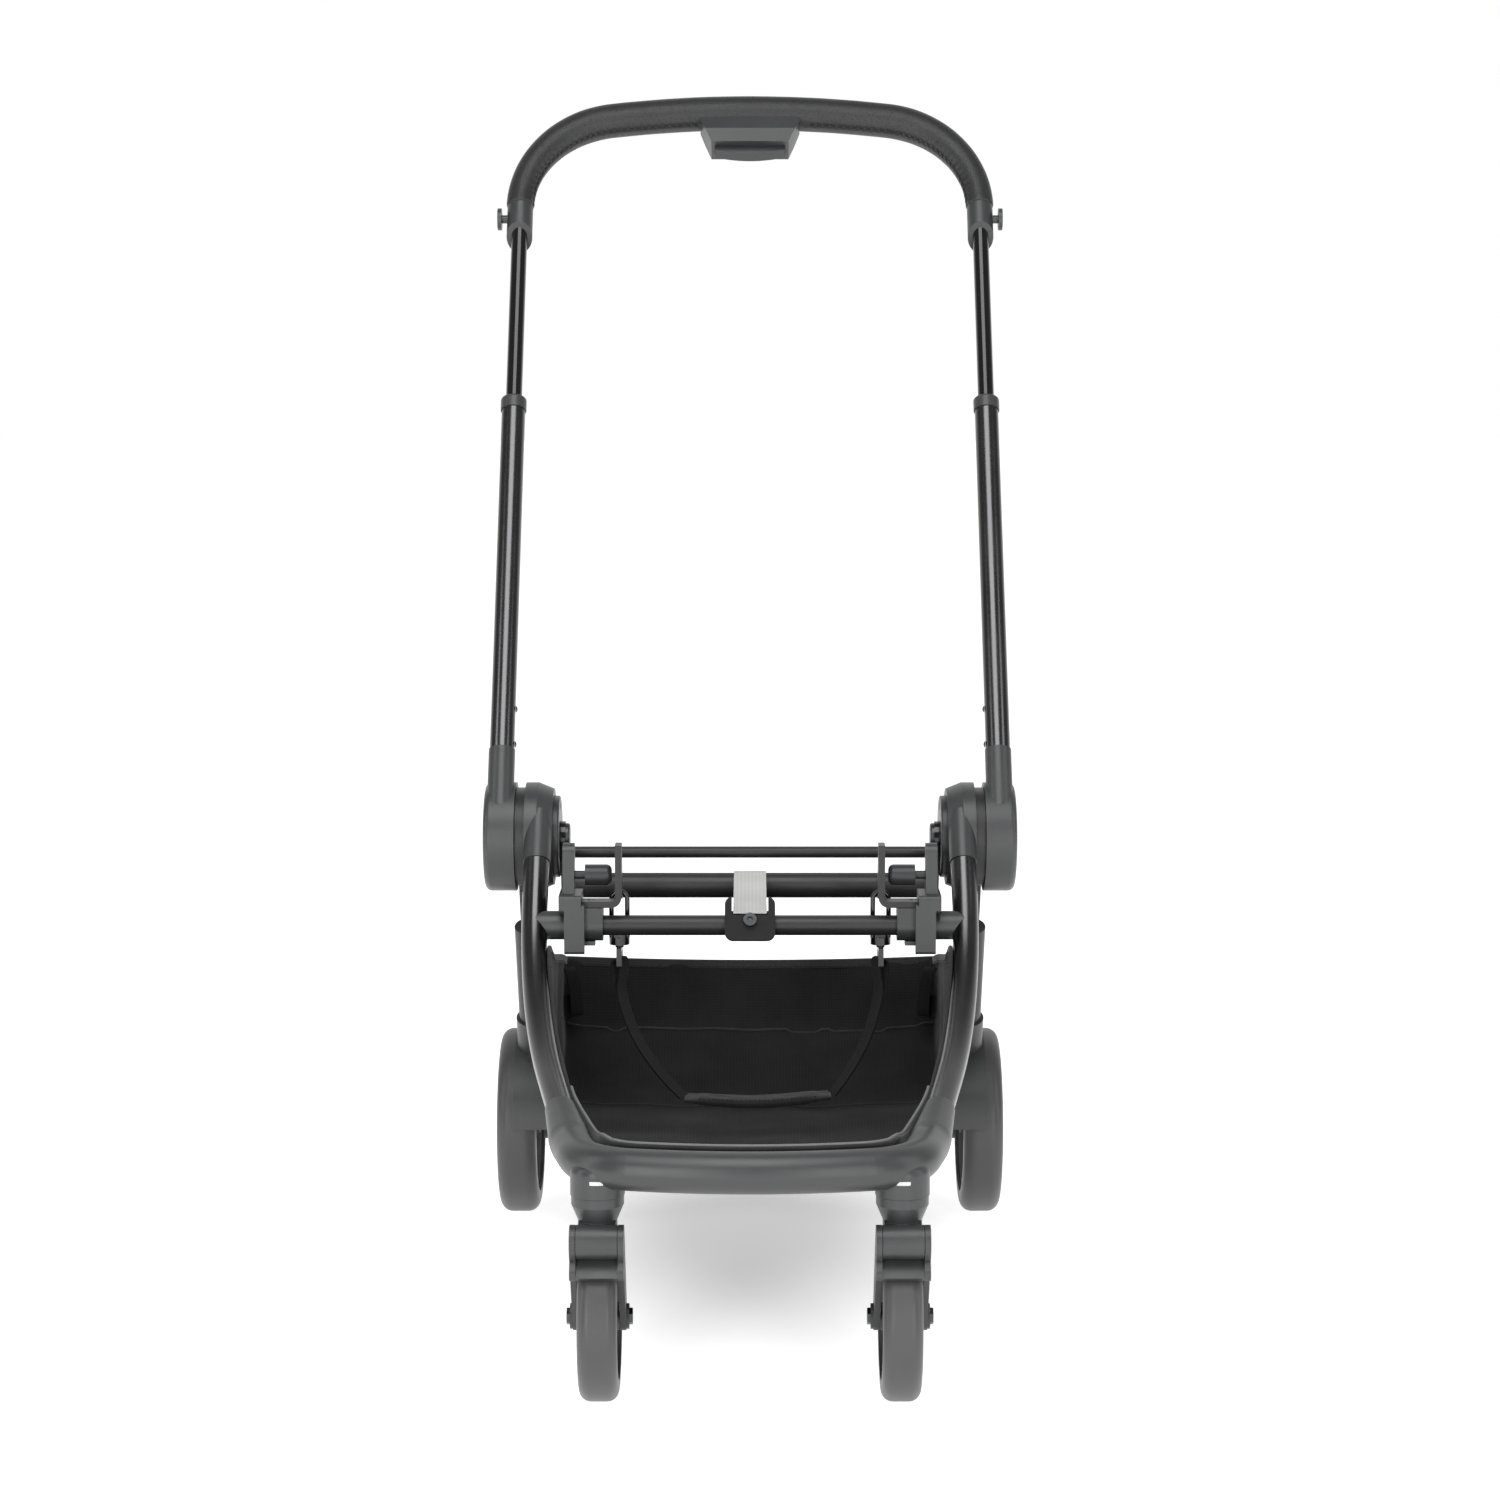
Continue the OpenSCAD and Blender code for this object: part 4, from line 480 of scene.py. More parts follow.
def wrap_grip():
    """Spins a ring round the bar's three arcs, turns its ends in and draws the leather in at the seam."""
    sides, corner_steps, bow_steps = 88, 120, 200
    bpy.ops.object.select_all(action="DESELECT")
    bpy.ops.mesh.primitive_circle_add(vertices=sides, radius=GRIP_END * MM, fill_type="NOTHING",
                                      location=on_handle(HANDLE_X, 0, CORNER_W), rotation=(-LEAN, 0, 0))
    bpy.ops.object.transform_apply(location=True, rotation=True, scale=True)
    bpy.ops.object.mode_set(mode="EDIT")
    bpy.ops.mesh.select_all(action="SELECT")
    across = (0, math.cos(LEAN), -math.sin(LEAN))
    for x, w, turn, steps in ((CORNER_X, CORNER_W, CORNER_TURN, corner_steps),
                              (0, BAR_W - BOW_R, 2 * BOW_HALF, bow_steps),
                              (-CORNER_X, CORNER_W, CORNER_TURN, corner_steps)):
        bpy.ops.mesh.spin(steps=steps, angle=turn, center=on_handle(x, 0, w), axis=across)
    bpy.ops.object.mode_set(mode="OBJECT")
    piece = bpy.context.object
    for vertex in piece.data.vertices:
        y, z = vertex.co.y / MM - HUB_Y, vertex.co.z / MM - HUB_Z
        back = y * math.cos(LEAN) - z * math.sin(LEAN) + HANDLE_OFFSET
        w = y * math.sin(LEAN) + z * math.cos(LEAN)
        x = vertex.co.x / MM
        bow = math.atan2(x, w - BAR_W + BOW_R)
        if abs(bow) < BOW_HALF:
            a = math.pi / 2 - bow
        else:
            a = abs(math.atan2(w - CORNER_W, x - math.copysign(CORNER_X, x)))
        cx, cw = bar_centre(a)
        b = math.atan2(back, (x - cx) * math.cos(a) + (w - cw) * math.sin(a)) % (2 * math.pi)
        vertex.co = grip_point(a, b)
    up = Vector((0, math.sin(LEAN), math.cos(LEAN)))
    share = GRIP_MOUTH / (GRIP_END - END_DIP)
    for end in (HANDLE_X, -HANDLE_X):
        centre = on_handle(end, 0, CORNER_W)
        select_vertices(piece, lambda v: abs((v.co - centre).dot(up)) < 0.05 * MM and v.co.x * end > 0)
        bpy.ops.mesh.extrude_region_move()
        bpy.ops.transform.resize(value=(share, share, share), center_override=centre)
    bpy.ops.mesh.select_all(action="SELECT")
    bpy.ops.mesh.remove_doubles(threshold=0.01 * MM)
    bpy.ops.mesh.normals_make_consistent(inside=False)
    bpy.ops.object.mode_set(mode="OBJECT")
    bpy.ops.object.shade_smooth()
    return name_piece("grip_wrap", leatherette, "handle_upper")


grip_wrap = wrap_grip()
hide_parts("grip")


def angle_at(length):
    """Angle along the bar at a length from its right end."""
    first, bow = CORNER_TURN * CORNER_R, 2 * BOW_HALF * BOW_R
    if length <= first:
        return length / CORNER_R
    if length <= first + bow:
        return CORNER_TURN + (length - first) / BOW_R
    return CORNER_TURN + 2 * BOW_HALF + (length - first - bow) / CORNER_R


def cross_stitches():
    """Two threads that zigzag over the grip's seam and cross between every pair of holes."""
    whole = bar_length(math.pi)
    runs = []
    for start, stop in ((SEAM_END, whole / 2 - HOUSING_HALF),
                        (whole / 2 + HOUSING_HALF, whole - SEAM_END)):
        count = int((stop - start) / STITCH)
        for side in (-1, 1):
            run = []
            for i in range(count):
                for k in (0, 0.2, 0.4, 0.6, 0.8):
                    d = side * (1 if i % 2 else -1) * mix(-STITCH_HALF, STITCH_HALF, k)
                    a = angle_at(start + (i + k) * STITCH)
                    lift = 0.45 * math.sin(math.pi * k) - 0.25 + 0.9 * bell(d, 0.8)
                    run.append(grip_point(a, SEAM_AT + d / grip_radius(a), lift))
            runs.append(run)
    threads(runs, 0.5 * MM)
    return name_piece("grip_stitches", sewing_thread, "handle_upper")


cross_stitches()

# Basket: one cloth shell hung between the legs and the front rail

# Axis of the right front leg, and of the rail that it runs into
LEG_TOP = Vector((204.5, -29.525, 447.938))
LEG_DIR = Vector((0, -0.66001, -0.75126))
LEG_RUN = 215
LEG_MEET = LEG_TOP + LEG_DIR * LEG_RUN
LEG_END = Vector((168, -337, 232))
LEG_OUT = (LEG_END - LEG_MEET).normalized()
LEG_TURN = LEG_DIR.angle(LEG_OUT)
LEG_BEND = 420.0
LEG_TANGENT = LEG_BEND * math.tan(LEG_TURN / 2)
LEG_SIDE = (LEG_OUT - LEG_DIR * LEG_OUT.dot(LEG_DIR)).normalized()
LEG_GAP, ARM_R = 13.9, 13.45
RAIL_R, RAIL_Z, RAIL_TURN = 18.0, 214.0, 60.0
BOW_CENTRE, RAIL_BOW = Vector((0, -7)), 480.0
RAIL_FRONT = BOW_CENTRE.y - RAIL_BOW
ARM_MEET = LEG_END + LEG_OUT * ((LEG_END.z - RAIL_Z) / -LEG_OUT.z)
ARM_FLAT = LEG_OUT.to_2d().normalized()
TURN_START = ARM_MEET.to_2d() + Vector((ARM_FLAT.y, -ARM_FLAT.x)) * RAIL_TURN - BOW_CENTRE
TURN_ALONG = TURN_START.dot(ARM_FLAT)
TURN_RUN = (math.sqrt(TURN_ALONG ** 2 - TURN_START.length_squared + (RAIL_BOW - RAIL_TURN) ** 2)
            - TURN_ALONG)
TURN_CENTRE = BOW_CENTRE + TURN_START + ARM_FLAT * TURN_RUN
ARM_END = ARM_MEET + ARM_FLAT.to_3d() * TURN_RUN
# Foot and top edge of the back wall as y and z, and how far the edge dips in the middle
BACK_LOW, BACK_TOP, BACK_DIP = (135.0, 200.0), (150.0, 272.0), 4
BASKET_HALF, FRONT_CREASE, REAR_CREASE, FLOOR_Z = 189.0, -290.0, 20.0, 152.0
LIP_Z, LIP_GAP, LIP_BACK = 226.0, 0.3, 0.8
LIP_TOP = LIP_Z + 4
# Share of the floor's length that slopes up to the rail, and the y where the hem comes to the rail
SLOPE, HEM_FRONT = 0.3, -400


def leg_bend_point(turn):
    """Point on the front leg's axis inside its bend."""
    down = LEG_BEND * math.sin(turn) - LEG_TANGENT
    return LEG_MEET + LEG_DIR * down + LEG_SIDE * (LEG_BEND * (1 - math.cos(turn)))


def rim_points():
    """Top edge of the right side panel, from the back corner to the rail."""
    out = [Vector((BASKET_HALF, *BACK_TOP)), Vector((BASKET_HALF, 60, 292)),
           Vector((BASKET_HALF + 1, -50, 314))]
    inwards = Vector((LEG_GAP, 0, 0))
    out += [leg_bend_point(k * LEG_TURN) - inwards for k in (0.25, 0.5, 0.75, 1)]
    out.append(mix(leg_bend_point(LEG_TURN), LEG_END, 0.7) - inwards)
    for k in (0.3, 0.6, 0.95):
        arm = mix(LEG_END, ARM_MEET, 2 * k) if k < 0.5 else mix(ARM_MEET, ARM_END, 2 * k - 1)
        inside = (mix(ARM_R, RAIL_R, min(1, 2.6 * k)) + 1.1) * 1.1
        out.append(arm + Vector((-inside, 0, (LIP_TOP - RAIL_Z) * smooth(k))))
    return out


rim_table = [(p.y, p) for p in reversed(rounded_run(rim_points(), 120))]
# Height and half width of the floor's edge, by y
EDGE_Z = [(-469, LIP_Z), (FRONT_CREASE, FLOOR_Z), (REAR_CREASE, FLOOR_Z), BACK_LOW]
EDGE_HALF = [(-451, 107.5), (-400, 124.5), (-337, 145.7), (-290, 159.7),
             (-197, 176), (-129, 185), (0, 189), (150, 189)]


def lip_y(x):
    """Back of the front rail, where the cloth ends."""
    if abs(x) < TURN_CENTRE.x * (RAIL_BOW - RAIL_R) / (RAIL_BOW - RAIL_TURN):
        return BOW_CENTRE.y - math.sqrt((RAIL_BOW - RAIL_R - LIP_GAP) ** 2 - x * x) + LIP_BACK
    across = abs(x) - TURN_CENTRE.x
    return TURN_CENTRE.y - math.sqrt((RAIL_TURN - RAIL_R - LIP_GAP) ** 2 - across ** 2) + LIP_BACK


def floor_point(k, v):
    """Point of the floor: k across (-1 to 1), v along it from the rail's lip to the back wall."""
    if v < SLOPE:
        y = mix(lip_y(k * EDGE_HALF[0][1]), FRONT_CREASE, v / SLOPE)
    else:
        y = mix(FRONT_CREASE, BACK_LOW[0], (v - SLOPE) / (1 - SLOPE))
    x = k * along(EDGE_HALF, y)
    sag = 4 * (1 - k * k) * math.sin(math.pi / 2 * min(1, max(0, (y - RAIL_FRONT) / 200)))
    fold = 1.5 * (1 - k * k) * math.cos(math.radians(x * 5))
    board = -3.0 * smooth((REAR_CREASE - y) / 10) * (1 - k ** 6)
    return Vector((x, y, along(EDGE_Z, y) - sag * 0.8 - fold * 0.5 + board))


def wall_point(side, k, v):
    """Point of a side panel: k from the floor's edge to the rim, v along as on the floor."""
    low = floor_point(side, v)
    rim = Vector((BASKET_HALF, *BACK_TOP)) if v == 1 else along(rim_table, low.y)
    p = mix(low, Vector((side * rim.x, rim.y, rim.z)), k)
    belly = math.sin(math.pi * k)
    swing = math.sin(low.y / 19 + 2.2 * math.sin(low.y / 47) + side)
    waves = 2.6 * swing * belly * smooth((1 - v) / 0.1) * smooth(v / 0.2)
    p.x += side * (3 * belly + waves)
    return p


def back_edge(k):
    """Point of the back wall's top edge, k across (-1 to 1)."""
    return Vector((k * BASKET_HALF, BACK_TOP[0], BACK_TOP[1] - BACK_DIP * (1 - k * k)))


def back_point(k, h):
    """Point of the back wall: k across (-1 to 1), h from its foot to its top edge."""
    p = mix(floor_point(k, 1), back_edge(k), h)
    p.y += 5 * (1 - k * k) * math.sin(math.pi * h)
    return p


WALL_ROWS, FLOOR_COLUMNS, LENGTH_ROWS = 16, 44, 72
# Cloth map of the floor with its sides and of the back wall, in metres
TUB_MAP, BACK_MAP = (0.62, 0.66), (0.378, 0.075)


def sew_basket():
    """Bends one grid over the floor and both sides, adds the back wall, then smooths and creases it."""
    columns = FLOOR_COLUMNS + 2 * WALL_ROWS

    def tub(u, v):
        i = round(u * columns)
        if i < WALL_ROWS:
            p = wall_point(-1, 1 - i / WALL_ROWS, v)
        elif i > WALL_ROWS + FLOOR_COLUMNS:
            p = wall_point(1, (i - WALL_ROWS - FLOOR_COLUMNS) / WALL_ROWS, v)
        else:
            p = floor_point(2 * (i - WALL_ROWS) / FLOOR_COLUMNS - 1, v)
        return place(*p)

    def back(u, v):
        k = 2 * u - 1
        return place(*(wall_point(math.copysign(1, k), v, 1) if abs(k) > 0.999 else back_point(k, v)))

    panel = cloth_grid(FLOOR_COLUMNS, WALL_ROWS, back,
                       lambda u, v: (u * BACK_MAP[0], TUB_MAP[1] + v * BACK_MAP[1]))
    shell = cloth_grid(columns, LENGTH_ROWS, tub, lambda u, v: (u * TUB_MAP[0], v * TUB_MAP[1]))
    panel.select_set(True)
    bpy.ops.object.join()
    bpy.ops.object.mode_set(mode="EDIT")
    bpy.ops.mesh.select_all(action="SELECT")
    bpy.ops.mesh.remove_doubles(threshold=0.3 * MM)
    bpy.ops.mesh.normals_make_consistent(inside=False)
    bpy.ops.object.mode_set(mode="OBJECT")
    uses = {}
    for face in shell.data.polygons:
        for key in face.edge_keys:
            uses[key] = uses.get(key, 0) + 1
    rim = {i for key, n in uses.items() if n == 1 for i in key}
    select_vertices(shell, lambda v: v.index not in rim)
    bpy.ops.mesh.vertices_smooth(factor=0.5, repeat=3)
    bpy.ops.object.mode_set(mode="OBJECT")
    for vertex in shell.data.vertices:
        if vertex.index in rim:
            continue
        p = vertex.co / MM
        broad = noise.noise(Vector((p.x / 70, p.y / 55, p.z / 60)))
        fine = noise.noise(Vector((p.x / 24, p.y / 30, p.z / 24 + 5)))
        vertex.co += vertex.normal * (1.8 * broad + 0.7 * fine) * MM
    apply_modifier("SOLIDIFY", thickness=1.6 * MM, offset=0.0)
    bpy.ops.object.shade_smooth()
    return name_piece("basket_shell", basket_cloth, "front_frame")


basket_shell = sew_basket()
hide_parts("basket_floor", "basket_back", "basket_sides", "basket_front")


def rim_loop():
    """The basket's whole top edge, from the back round both sides to the middle of the rail."""
    right = rounded_run(rim_points(), 90)
    front = [Vector((mix(right[-1].x, 0, k / 16), 0, 0)) for k in range(1, 17)]
    for p in front:
        p.y, p.z = lip_y(p.x) + 1.2, LIP_TOP
    back = [back_edge(k / 24) for k in range(24)]
    half = back + right + front
    left = [Vector((-p.x, p.y, p.z)) for p in reversed(half[1:-1])]
    return half + left


def bind_rim():
    """Binding tape folded over the cloth's edge, as a closed band with a rounded edge."""
    run = rim_loop()
    run.append(run[0].copy())
    down = [Vector((0, 0.55 * smooth((HEM_FRONT - p.y) / 40), -1)).normalized() for p in run]
    spine = [place(*(p + d * 3.2)) for p, d in zip(run, down)]
    ribbon(spine, down, 9 * MM, 3.2 * MM, 4)
    bpy.ops.object.mode_set(mode="EDIT")
    bpy.ops.mesh.select_all(action="SELECT")
    bpy.ops.mesh.remove_doubles(threshold=0.05 * MM)
    bpy.ops.object.mode_set(mode="OBJECT")
    apply_modifier("BEVEL", width=0.9 * MM, segments=2, limit_method="ANGLE", angle_limit=math.radians(50))
    bpy.ops.object.shade_smooth()
    return name_piece("basket_binding", binding_tape, "front_frame")


basket_binding = bind_rim()


def hem_stitches():
    """A row of stitches on the inner face of the binding."""
    run = [p for p in rim_loop() if p.y > HEM_FRONT]
    split = max(range(len(run) - 1), key=lambda i: (run[i + 1] - run[i]).length)
    run = run[split + 1:] + run[:split + 1]
    inwards = [(Vector((0, -60, p.z)) - p).normalized() for p in run]
    line = [place(*(p + n * 1.7 - Vector((0, 0, 5.4)))) for p, n in zip(run, inwards)]
    threads(stitches(line, inwards, 5 * MM, 3.4 * MM, 0.5 * MM), 0.35 * MM, 1)
    return name_piece("hem_stitches", sewing_thread, "front_frame")


hem = hem_stitches()


def seam_welts():
    """Rolled seams in the basket: along the foot of the back wall and along the floor's rear crease."""
    runs = []
    rear = SLOPE + (1 - SLOPE) * (REAR_CREASE - FRONT_CREASE) / (BACK_LOW[0] - FRONT_CREASE)
    for at in (1.0, rear):
        run = []
        for k in range(-30, 31):
            inside = place(*(floor_point(k / 30 * 0.97, at) + Vector((0, -9, 9))))
            run.append(basket_shell.closest_point_on_mesh(inside)[1])
        runs.append(run)
    threads(runs, 1.4 * MM)
    return name_piece("basket_welts", binding_tape, "front_frame")


welts = seam_welts()


def front_piping():
    """The cord sewn into the front edge, from leg to leg along the rail."""
    front = [p for p in rim_loop() if p.y < -300]
    inwards = [(Vector((0, -250, p.z)) - p).normalized() for p in front]
    threads([[place(*(p + n * 2.4 + Vector((0, 0, 1.4)))) for p, n in zip(front, inwards)]], 1.5 * MM, 4)
    return name_piece("basket_piping", vinyl_piping, "front_frame")


piping = front_piping()


def basket_tab(name, side):
    """A webbing loop sewn inside the rear corner of the basket."""
    knots = [Vector((side * x, y, z)) for x, y, z in
             ((185, 118, 268), (181, 112, 262), (177, 108, 240), (176, 104, 224),
              (178, 108, 219), (181, 112, 224), (183, 116, 240))]
    spine = [place(*p) for p in rounded_run(knots, 30)]
    ribbon(spine, [Vector((side * 0.75, -0.66, 0))] * len(spine), 15 * MM, 1.4 * MM)
    return name_piece(name, black_webbing, "front_frame")


tabs = [basket_tab("basket_tab_left", -1), basket_tab("basket_tab_right", 1)]

# Carrying strap with its shoulder pad, hung from the two snap hooks

EYE_Y, HOOK_X, HOOK_LOW = -96.4, 124.2, 315.0
PAD_LEFT, PAD_RIGHT = Vector((-62.5, EYE_Y, 184)), Vector((77.5, EYE_Y, 187))


def carry_strap(name, side, turn):
    """Flat webbing: folded back round the hook's slot, then down to the pad with a half twist."""
    fold = [Vector((side * (HOOK_X + out), EYE_Y, HOOK_LOW + up)) for out, up in
            ((1.6, -25), (2.8, -11), (3.7, -1), (3.2, 3.6), (0, 5.2), (-3.2, 3.6), (-3.7, -1), (-3.4, -11))]
    end = (PAD_RIGHT if side > 0 else PAD_LEFT) + Vector((side * 1.0, 0, 1.0))
    hang = [Vector((mix(side * HOOK_X, end.x, k ** 2.2), EYE_Y, mix(HOOK_LOW - 0.7, end.z, k)))
            for k in (0.22, 0.48, 0.7, 0.88, 1)]
    steps = 60
    spine = [place(*p) for p in rounded_run(fold + hang, steps)]
    across = []
    for i in range(steps + 1):
        k = smooth((i - 14) / 40)
        angle = mix(math.radians(66 if side < 0 else 114), math.radians(turn), k)
        across.append(Vector((math.cos(angle), math.sin(angle), 0)))
    ribbon(spine, across, 20 * MM, 1.5 * MM)
    return name_piece(name, black_webbing, "front_frame")


strap_left = carry_strap("carry_strap_left", -1, 70)
strap_right = carry_strap("carry_strap_right", 1, 108)
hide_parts("carry_strap")


def pad_point(k, j, h):
    """Point of the pad: k along, j across and h through it, each from -1 to 1."""
    ends = 1 - abs(k) ** 6
    crown = (1 - j ** 4) ** 0.6 if abs(j) < 1 else 0.0
    waist = 1 - 0.06 * (1 - k * k)
    sewn = 1 - 0.7 * bell(abs(k) - 0.86, 0.03) - 0.6 * bell(abs(k) - 0.97, 0.03)
    half = (1.2 + 3.6 * crown * (0.35 + 0.65 * ends)) * sewn
    x = mix(PAD_LEFT.x, PAD_RIGHT.x, (k + 1) / 2)
    bow = mix(PAD_LEFT.z, PAD_RIGHT.z, (k + 1) / 2) - 5.5 * math.cos(math.pi / 2 * k)
    ripple = 0.7 * noise.noise(Vector((x / 11, j * 2, h))) * crown
    return place(x, EYE_Y + 21.5 * j * waist, bow + h * half + ripple - 1.5 * j)


def shoulder_pad():
    """Soft sleeve on the strap: a crowned form, drawn in between its corners and sewn flat at both ends."""
    bpy.ops.object.select_all(action="DESELECT")
    bpy.ops.mesh.primitive_cube_add(size=1)
    bpy.ops.object.mode_set(mode="EDIT")
    bpy.ops.mesh.select_all(action="SELECT")
    bpy.ops.mesh.subdivide(number_cuts=35)
    bpy.ops.object.mode_set(mode="OBJECT")
    piece = bpy.context.object
    for vertex in piece.data.vertices:
        vertex.co = pad_point(*(vertex.co * 2))
    bpy.ops.object.mode_set(mode="EDIT")
    bpy.ops.mesh.select_all(action="SELECT")
    bpy.ops.mesh.vertices_smooth(factor=0.5, repeat=2)
    bpy.ops.object.mode_set(mode="OBJECT")
    mesh = piece.data
    mesh.uv_layers[0].name = "weave"
    for loop in mesh.loops:
        p = mesh.vertices[loop.vertex_index].co
        mesh.uv_layers[0].data[loop.index].uv = (p.x, p.y)
    bpy.ops.object.shade_smooth()
    return name_piece("carry_pad_sleeve", basket_cloth, "front_frame")


pad = shoulder_pad()
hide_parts("carry_pad")


def pad_stitches():
    """Stitches along the pad's edges and across its ends."""
    up = [Vector((0, 0, 1))] * 60
    runs = []
    for side in (-1, 1):
        edge = [pad_point(mix(-0.84, 0.84, i / 39), side * 0.82, 1) for i in range(40)]
        runs += stitches(edge, up, 4.4 * MM, 3 * MM, 0.4 * MM)
    for side in (-1, 1):
        end = [pad_point(side * 0.86, mix(-0.85, 0.85, i / 19), 1) for i in range(20)]
        runs += stitches(end, up, 4 * MM, 2.8 * MM, 0.4 * MM)
    threads(runs, 0.35 * MM, 1)
    return name_piece("pad_stitches", sewing_thread, "front_frame")


pad_seams = pad_stitches()

# Fold strap: silver-grey webbing from the bracket on the lower tube, round the upper tube

LOW_TUBE, UP_TUBE = (-111.365, 354.784), (15.0, 371.0)
BRACKET_TILT = math.radians(63)
# Where the strap starts, along the bracket and over it, and its radius round the tube
STRAP_ALONG, STRAP_OVER, STRAP_R = 7.5, 15.9, 13.3


def fold_strap():
    """A band that runs from the bracket's bolt up to the tube and once round it."""
    cos, sin = math.cos(BRACKET_TILT), math.sin(BRACKET_TILT)
    tail = Vector((0, LOW_TUBE[0] + STRAP_ALONG * cos - STRAP_OVER * sin,
                   LOW_TUBE[1] + STRAP_ALONG * sin + STRAP_OVER * cos))
    turns = [math.radians(a) for a in range(97, -237, -9)]
    wrap = [Vector((0, UP_TUBE[0] + STRAP_R * math.cos(a), UP_TUBE[1] + STRAP_R * math.sin(a)))
            for a in turns]
    lead = []
    for k in range(14):
        sag = Vector((0, 0, 1.2 * math.sin(math.pi * k / 14)))
        lead.append(mix(tail, wrap[0], k / 14) - sag)
    spine = [place(*p) for p in lead + wrap]
    ribbon(spine, [Vector((1, 0, 0))] * len(spine), 31.5 * MM, 1.4 * MM, 16)
    return name_piece("fold_strap_webbing", grey_webbing), place(*tail), place(*wrap[0])


strap, strap_foot, strap_head = fold_strap()
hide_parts("fold_strap")

# Pale inlays let into the front of the caster housings

INLAY_X, INLAY_Y, INLAY_Z, INLAY_R = 129.5, -460, 203.5, 23.25


def caster_inlays():
    """A small rounded bar bent to the housing's curve, and its copy on the other side."""
    bpy.ops.object.select_all(action="DESELECT")
    bpy.ops.mesh.primitive_cube_add(size=1)
    bpy.ops.object.mode_set(mode="EDIT")
    bpy.ops.mesh.select_all(action="SELECT")
    bpy.ops.transform.resize(value=(11.5 * MM, 1.2 * MM, 3.2 * MM))
    bpy.ops.mesh.subdivide(number_cuts=9)
    bpy.ops.object.mode_set(mode="OBJECT")
    right = bpy.context.object
    apply_modifier("BEVEL", width=0.5 * MM, segments=3, limit_method="ANGLE")
    for vertex in right.data.vertices:
        x, y, z = vertex.co / MM
        angle = x / INLAY_R
        reach = INLAY_R + 0.1 - y * 0.5
        vertex.co = place(INLAY_X + reach * math.sin(angle), INLAY_Y - reach * math.cos(angle),
                          INLAY_Z + z)
    bpy.ops.object.shade_smooth_by_angle(angle=math.radians(50))
    name_piece("caster_inlay_right", pale_inlay, "front_frame")
    bpy.ops.object.duplicate()
    left = bpy.context.object
    for vertex in left.data.vertices:
        vertex.co.x = -vertex.co.x
    left.data.flip_normals()
    left.name = left.data.name = "caster_inlay_left"


caster_inlays()

# Soft pieces: each gets a mesh of its own, and the fold strap's placing is baked into its mesh

for piece in (basket_shell, basket_binding, hem, welts, piping, *tabs):
    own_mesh(piece)
for piece in (strap_left, strap_right, pad, pad_seams):
    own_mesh(piece)
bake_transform(strap)

# Pale floor with a painted shadow under the basket, soft studio lights and a white surround


def seen_rays(tree, share=None):
    """1 on camera rays and on rays off shiny or clear surfaces, there times a share if one is given."""
    ray = put(tree, "ShaderNodeLightPath")
    mirror = calc(tree, "ADD", (ray, "Is Glossy Ray"), (ray, "Is Transmission Ray"))
    if share:
        mirror = calc(tree, "MULTIPLY", (mirror, "Value"), share)
    return calc(tree, "MAXIMUM", (ray, "Is Camera Ray"), (mirror, "Value"))


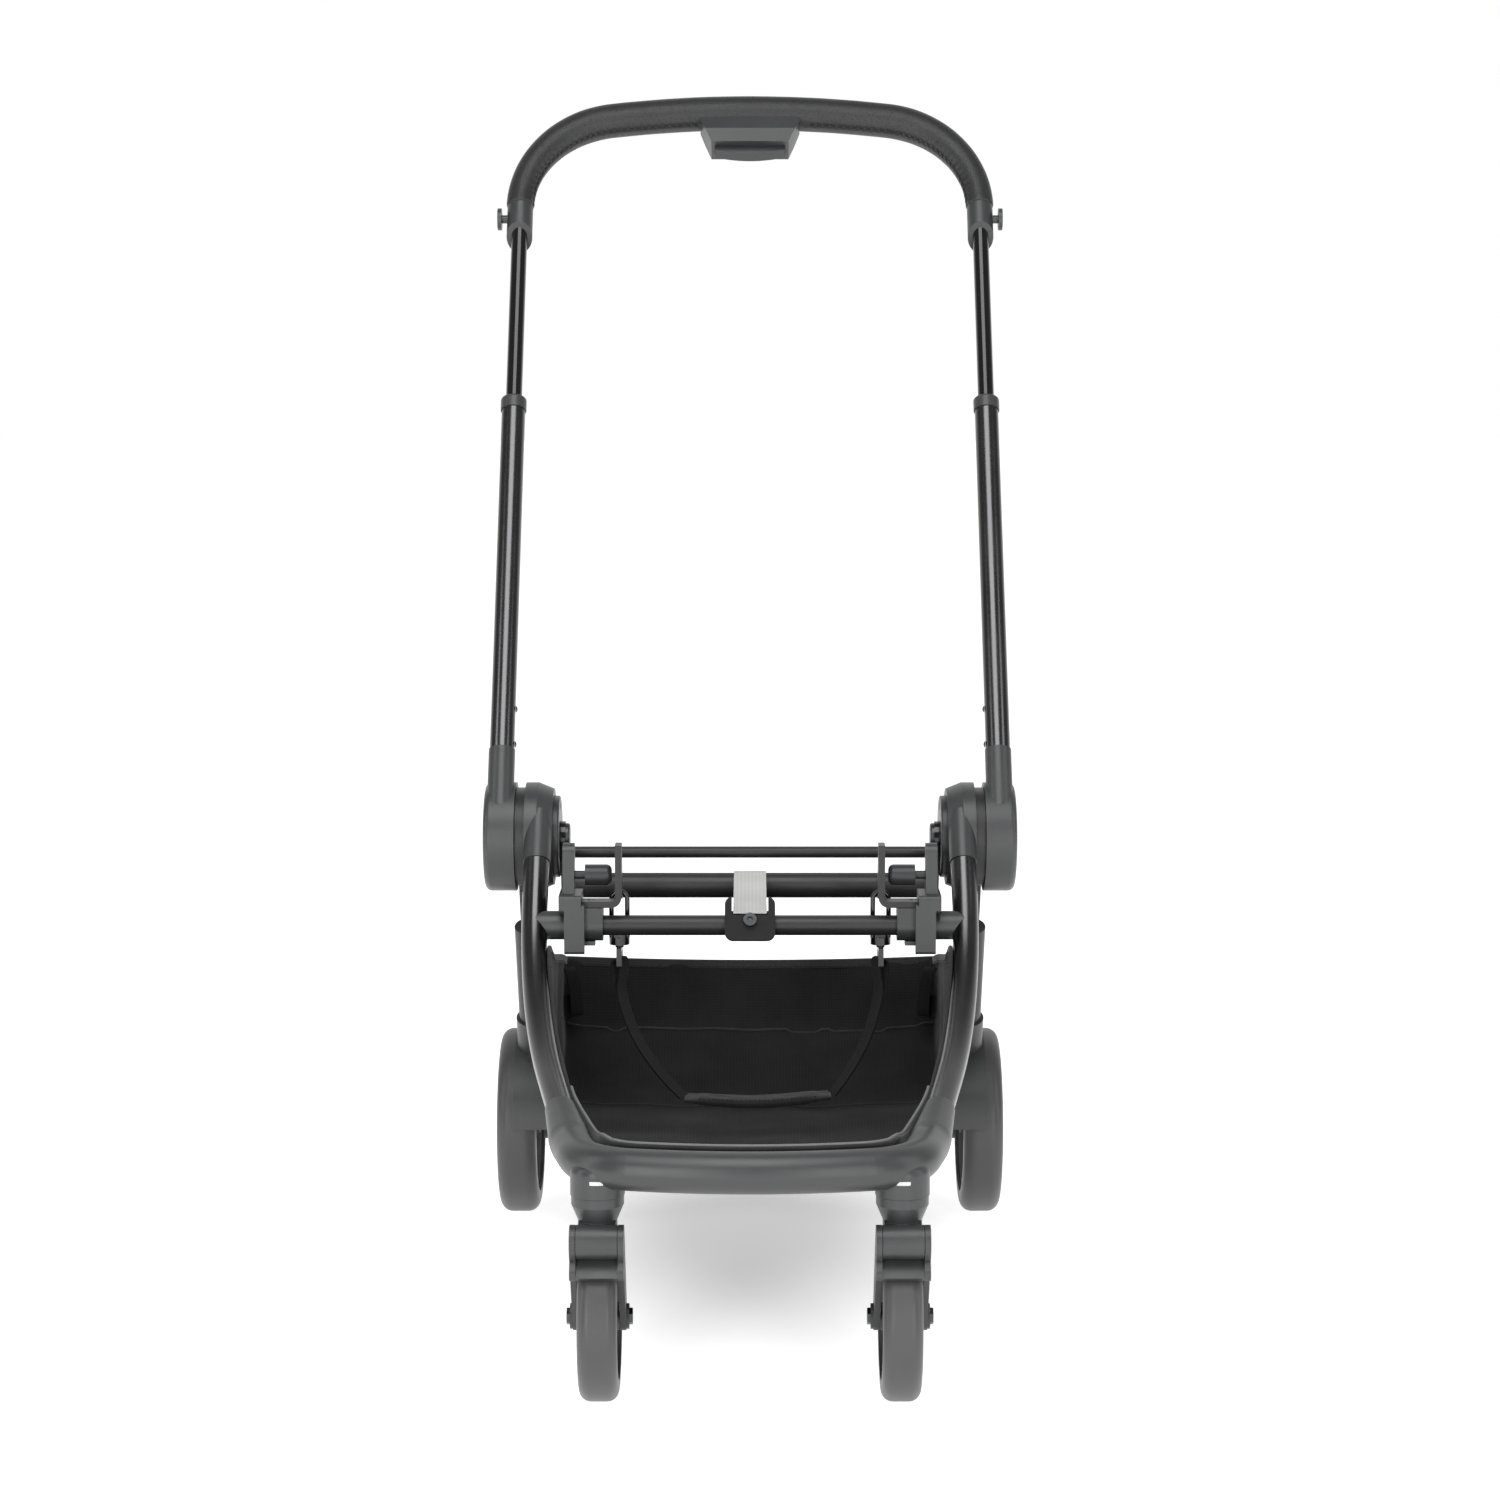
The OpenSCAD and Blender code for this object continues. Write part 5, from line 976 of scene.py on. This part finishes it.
def studio():
    """A floor that takes the real shadow and glows white, with a painted shadow where its glow is dimmed
    under the basket, and soft boxes above, in front and at the sides.
    """
    bpy.ops.object.select_all(action="DESELECT")
    bpy.ops.mesh.primitive_plane_add(size=40)
    ground = bpy.context.object
    ground.name = "studio_floor"
    paper, tree = blank_finish("white_paper_roll")
    matt = put(tree, "ShaderNodeBsdfDiffuse", {"Color": linear("#e9e9e9")})
    where = put(tree, "ShaderNodeTexCoord")
    # Painted shadow: the floor's glow drops from 1.0 to 0.42 towards a spot 0.12 m back under the basket,
    # narrower across than along, on top of the real shadow
    shadow_centred = put(tree, "ShaderNodeMapping", {"Location": (0, -0.12, 0), "Scale": (2, 1, 1)},
                {"Vector": (where, "Object")})
    shadow_distance = put(tree, "ShaderNodeVectorMath", None, {0: (shadow_centred, "Vector")}, operation="LENGTH")
    painted_shadow_level = put(tree, "ShaderNodeMapRange", {"From Min": 0.1, "From Max": 0.6, "To Min": 0.42,
                                             "To Max": 1.0},
                {"Value": (shadow_distance, "Value")}, interpolation_type="SMOOTHSTEP")
    painted_shadow_glow = calc(tree, "MULTIPLY", (seen_rays(tree), "Value"), (painted_shadow_level, "Result"))
    glow = put(tree, "ShaderNodeEmission", {"Color": linear("#ffffff")}, {"Strength": (painted_shadow_glow, "Value")})
    both = put(tree, "ShaderNodeAddShader", None, {0: (matt, "BSDF"), 1: (glow, "Emission")})
    put(tree, "ShaderNodeOutputMaterial", links={"Surface": (both, "Shader")})
    ground.data.materials.append(paper)

    world = bpy.data.worlds.new("studio")
    bpy.context.scene.world = world
    world.use_nodes = True
    tree = world.node_tree
    tree.nodes.clear()
    where = put(tree, "ShaderNodeTexCoord")
    axes = put(tree, "ShaderNodeSeparateXYZ", None, {"Vector": (where, "Generated")})
    behind = put(tree, "ShaderNodeMapRange", {"From Min": 0.35, "From Max": 0.75}, {"Value": (axes, "Y")})
    seen = seen_rays(tree, (behind, "Result"))
    room = put(tree, "ShaderNodeBackground", {"Color": linear("#ffffff"), "Strength": 0.18})
    white = put(tree, "ShaderNodeBackground", {"Color": linear("#ffffff"), "Strength": 1.0})
    both = put(tree, "ShaderNodeMixShader", None,
               {0: (seen, "Value"), 1: (room, "Background"), 2: (white, "Background")})
    put(tree, "ShaderNodeOutputWorld", links={"Surface": (both, "Shader")})

    for name, at, aim, wide, high, radiance in (
            ("top_box", (-0.1, -1.2, 2.7), (0, -0.3, 0.4), 1.5, 1.9, 3.4),
            ("left_strip", (-1.1, -3.4, 1.1), (0, 0, 0.6), 0.6, 2.2, 7.5),
            ("right_strip", (1.2, -3.4, 1.1), (0, 0, 0.6), 0.6, 2.2, 6.5),
            ("left_box", (-2.1, -0.7, 1.2), (0, 0, 0.6), 0.6, 2.2, 2.6),
            ("right_box", (2.1, -0.7, 1.2), (0, 0, 0.6), 0.6, 2.2, 2.4)):
        lamp = bpy.data.lights.new(name, "AREA")
        lamp.shape = "RECTANGLE"
        lamp.size, lamp.size_y = wide, high
        lamp.energy = radiance * wide * high * math.pi
        box = bpy.data.objects.new(name, lamp)
        box.location = at
        box.rotation_euler = (Vector(aim) - Vector(at)).to_track_quat("-Z", "Y").to_euler()
        bpy.context.scene.collection.objects.link(box)


studio()
bpy.context.scene.view_settings.view_transform = "Standard"
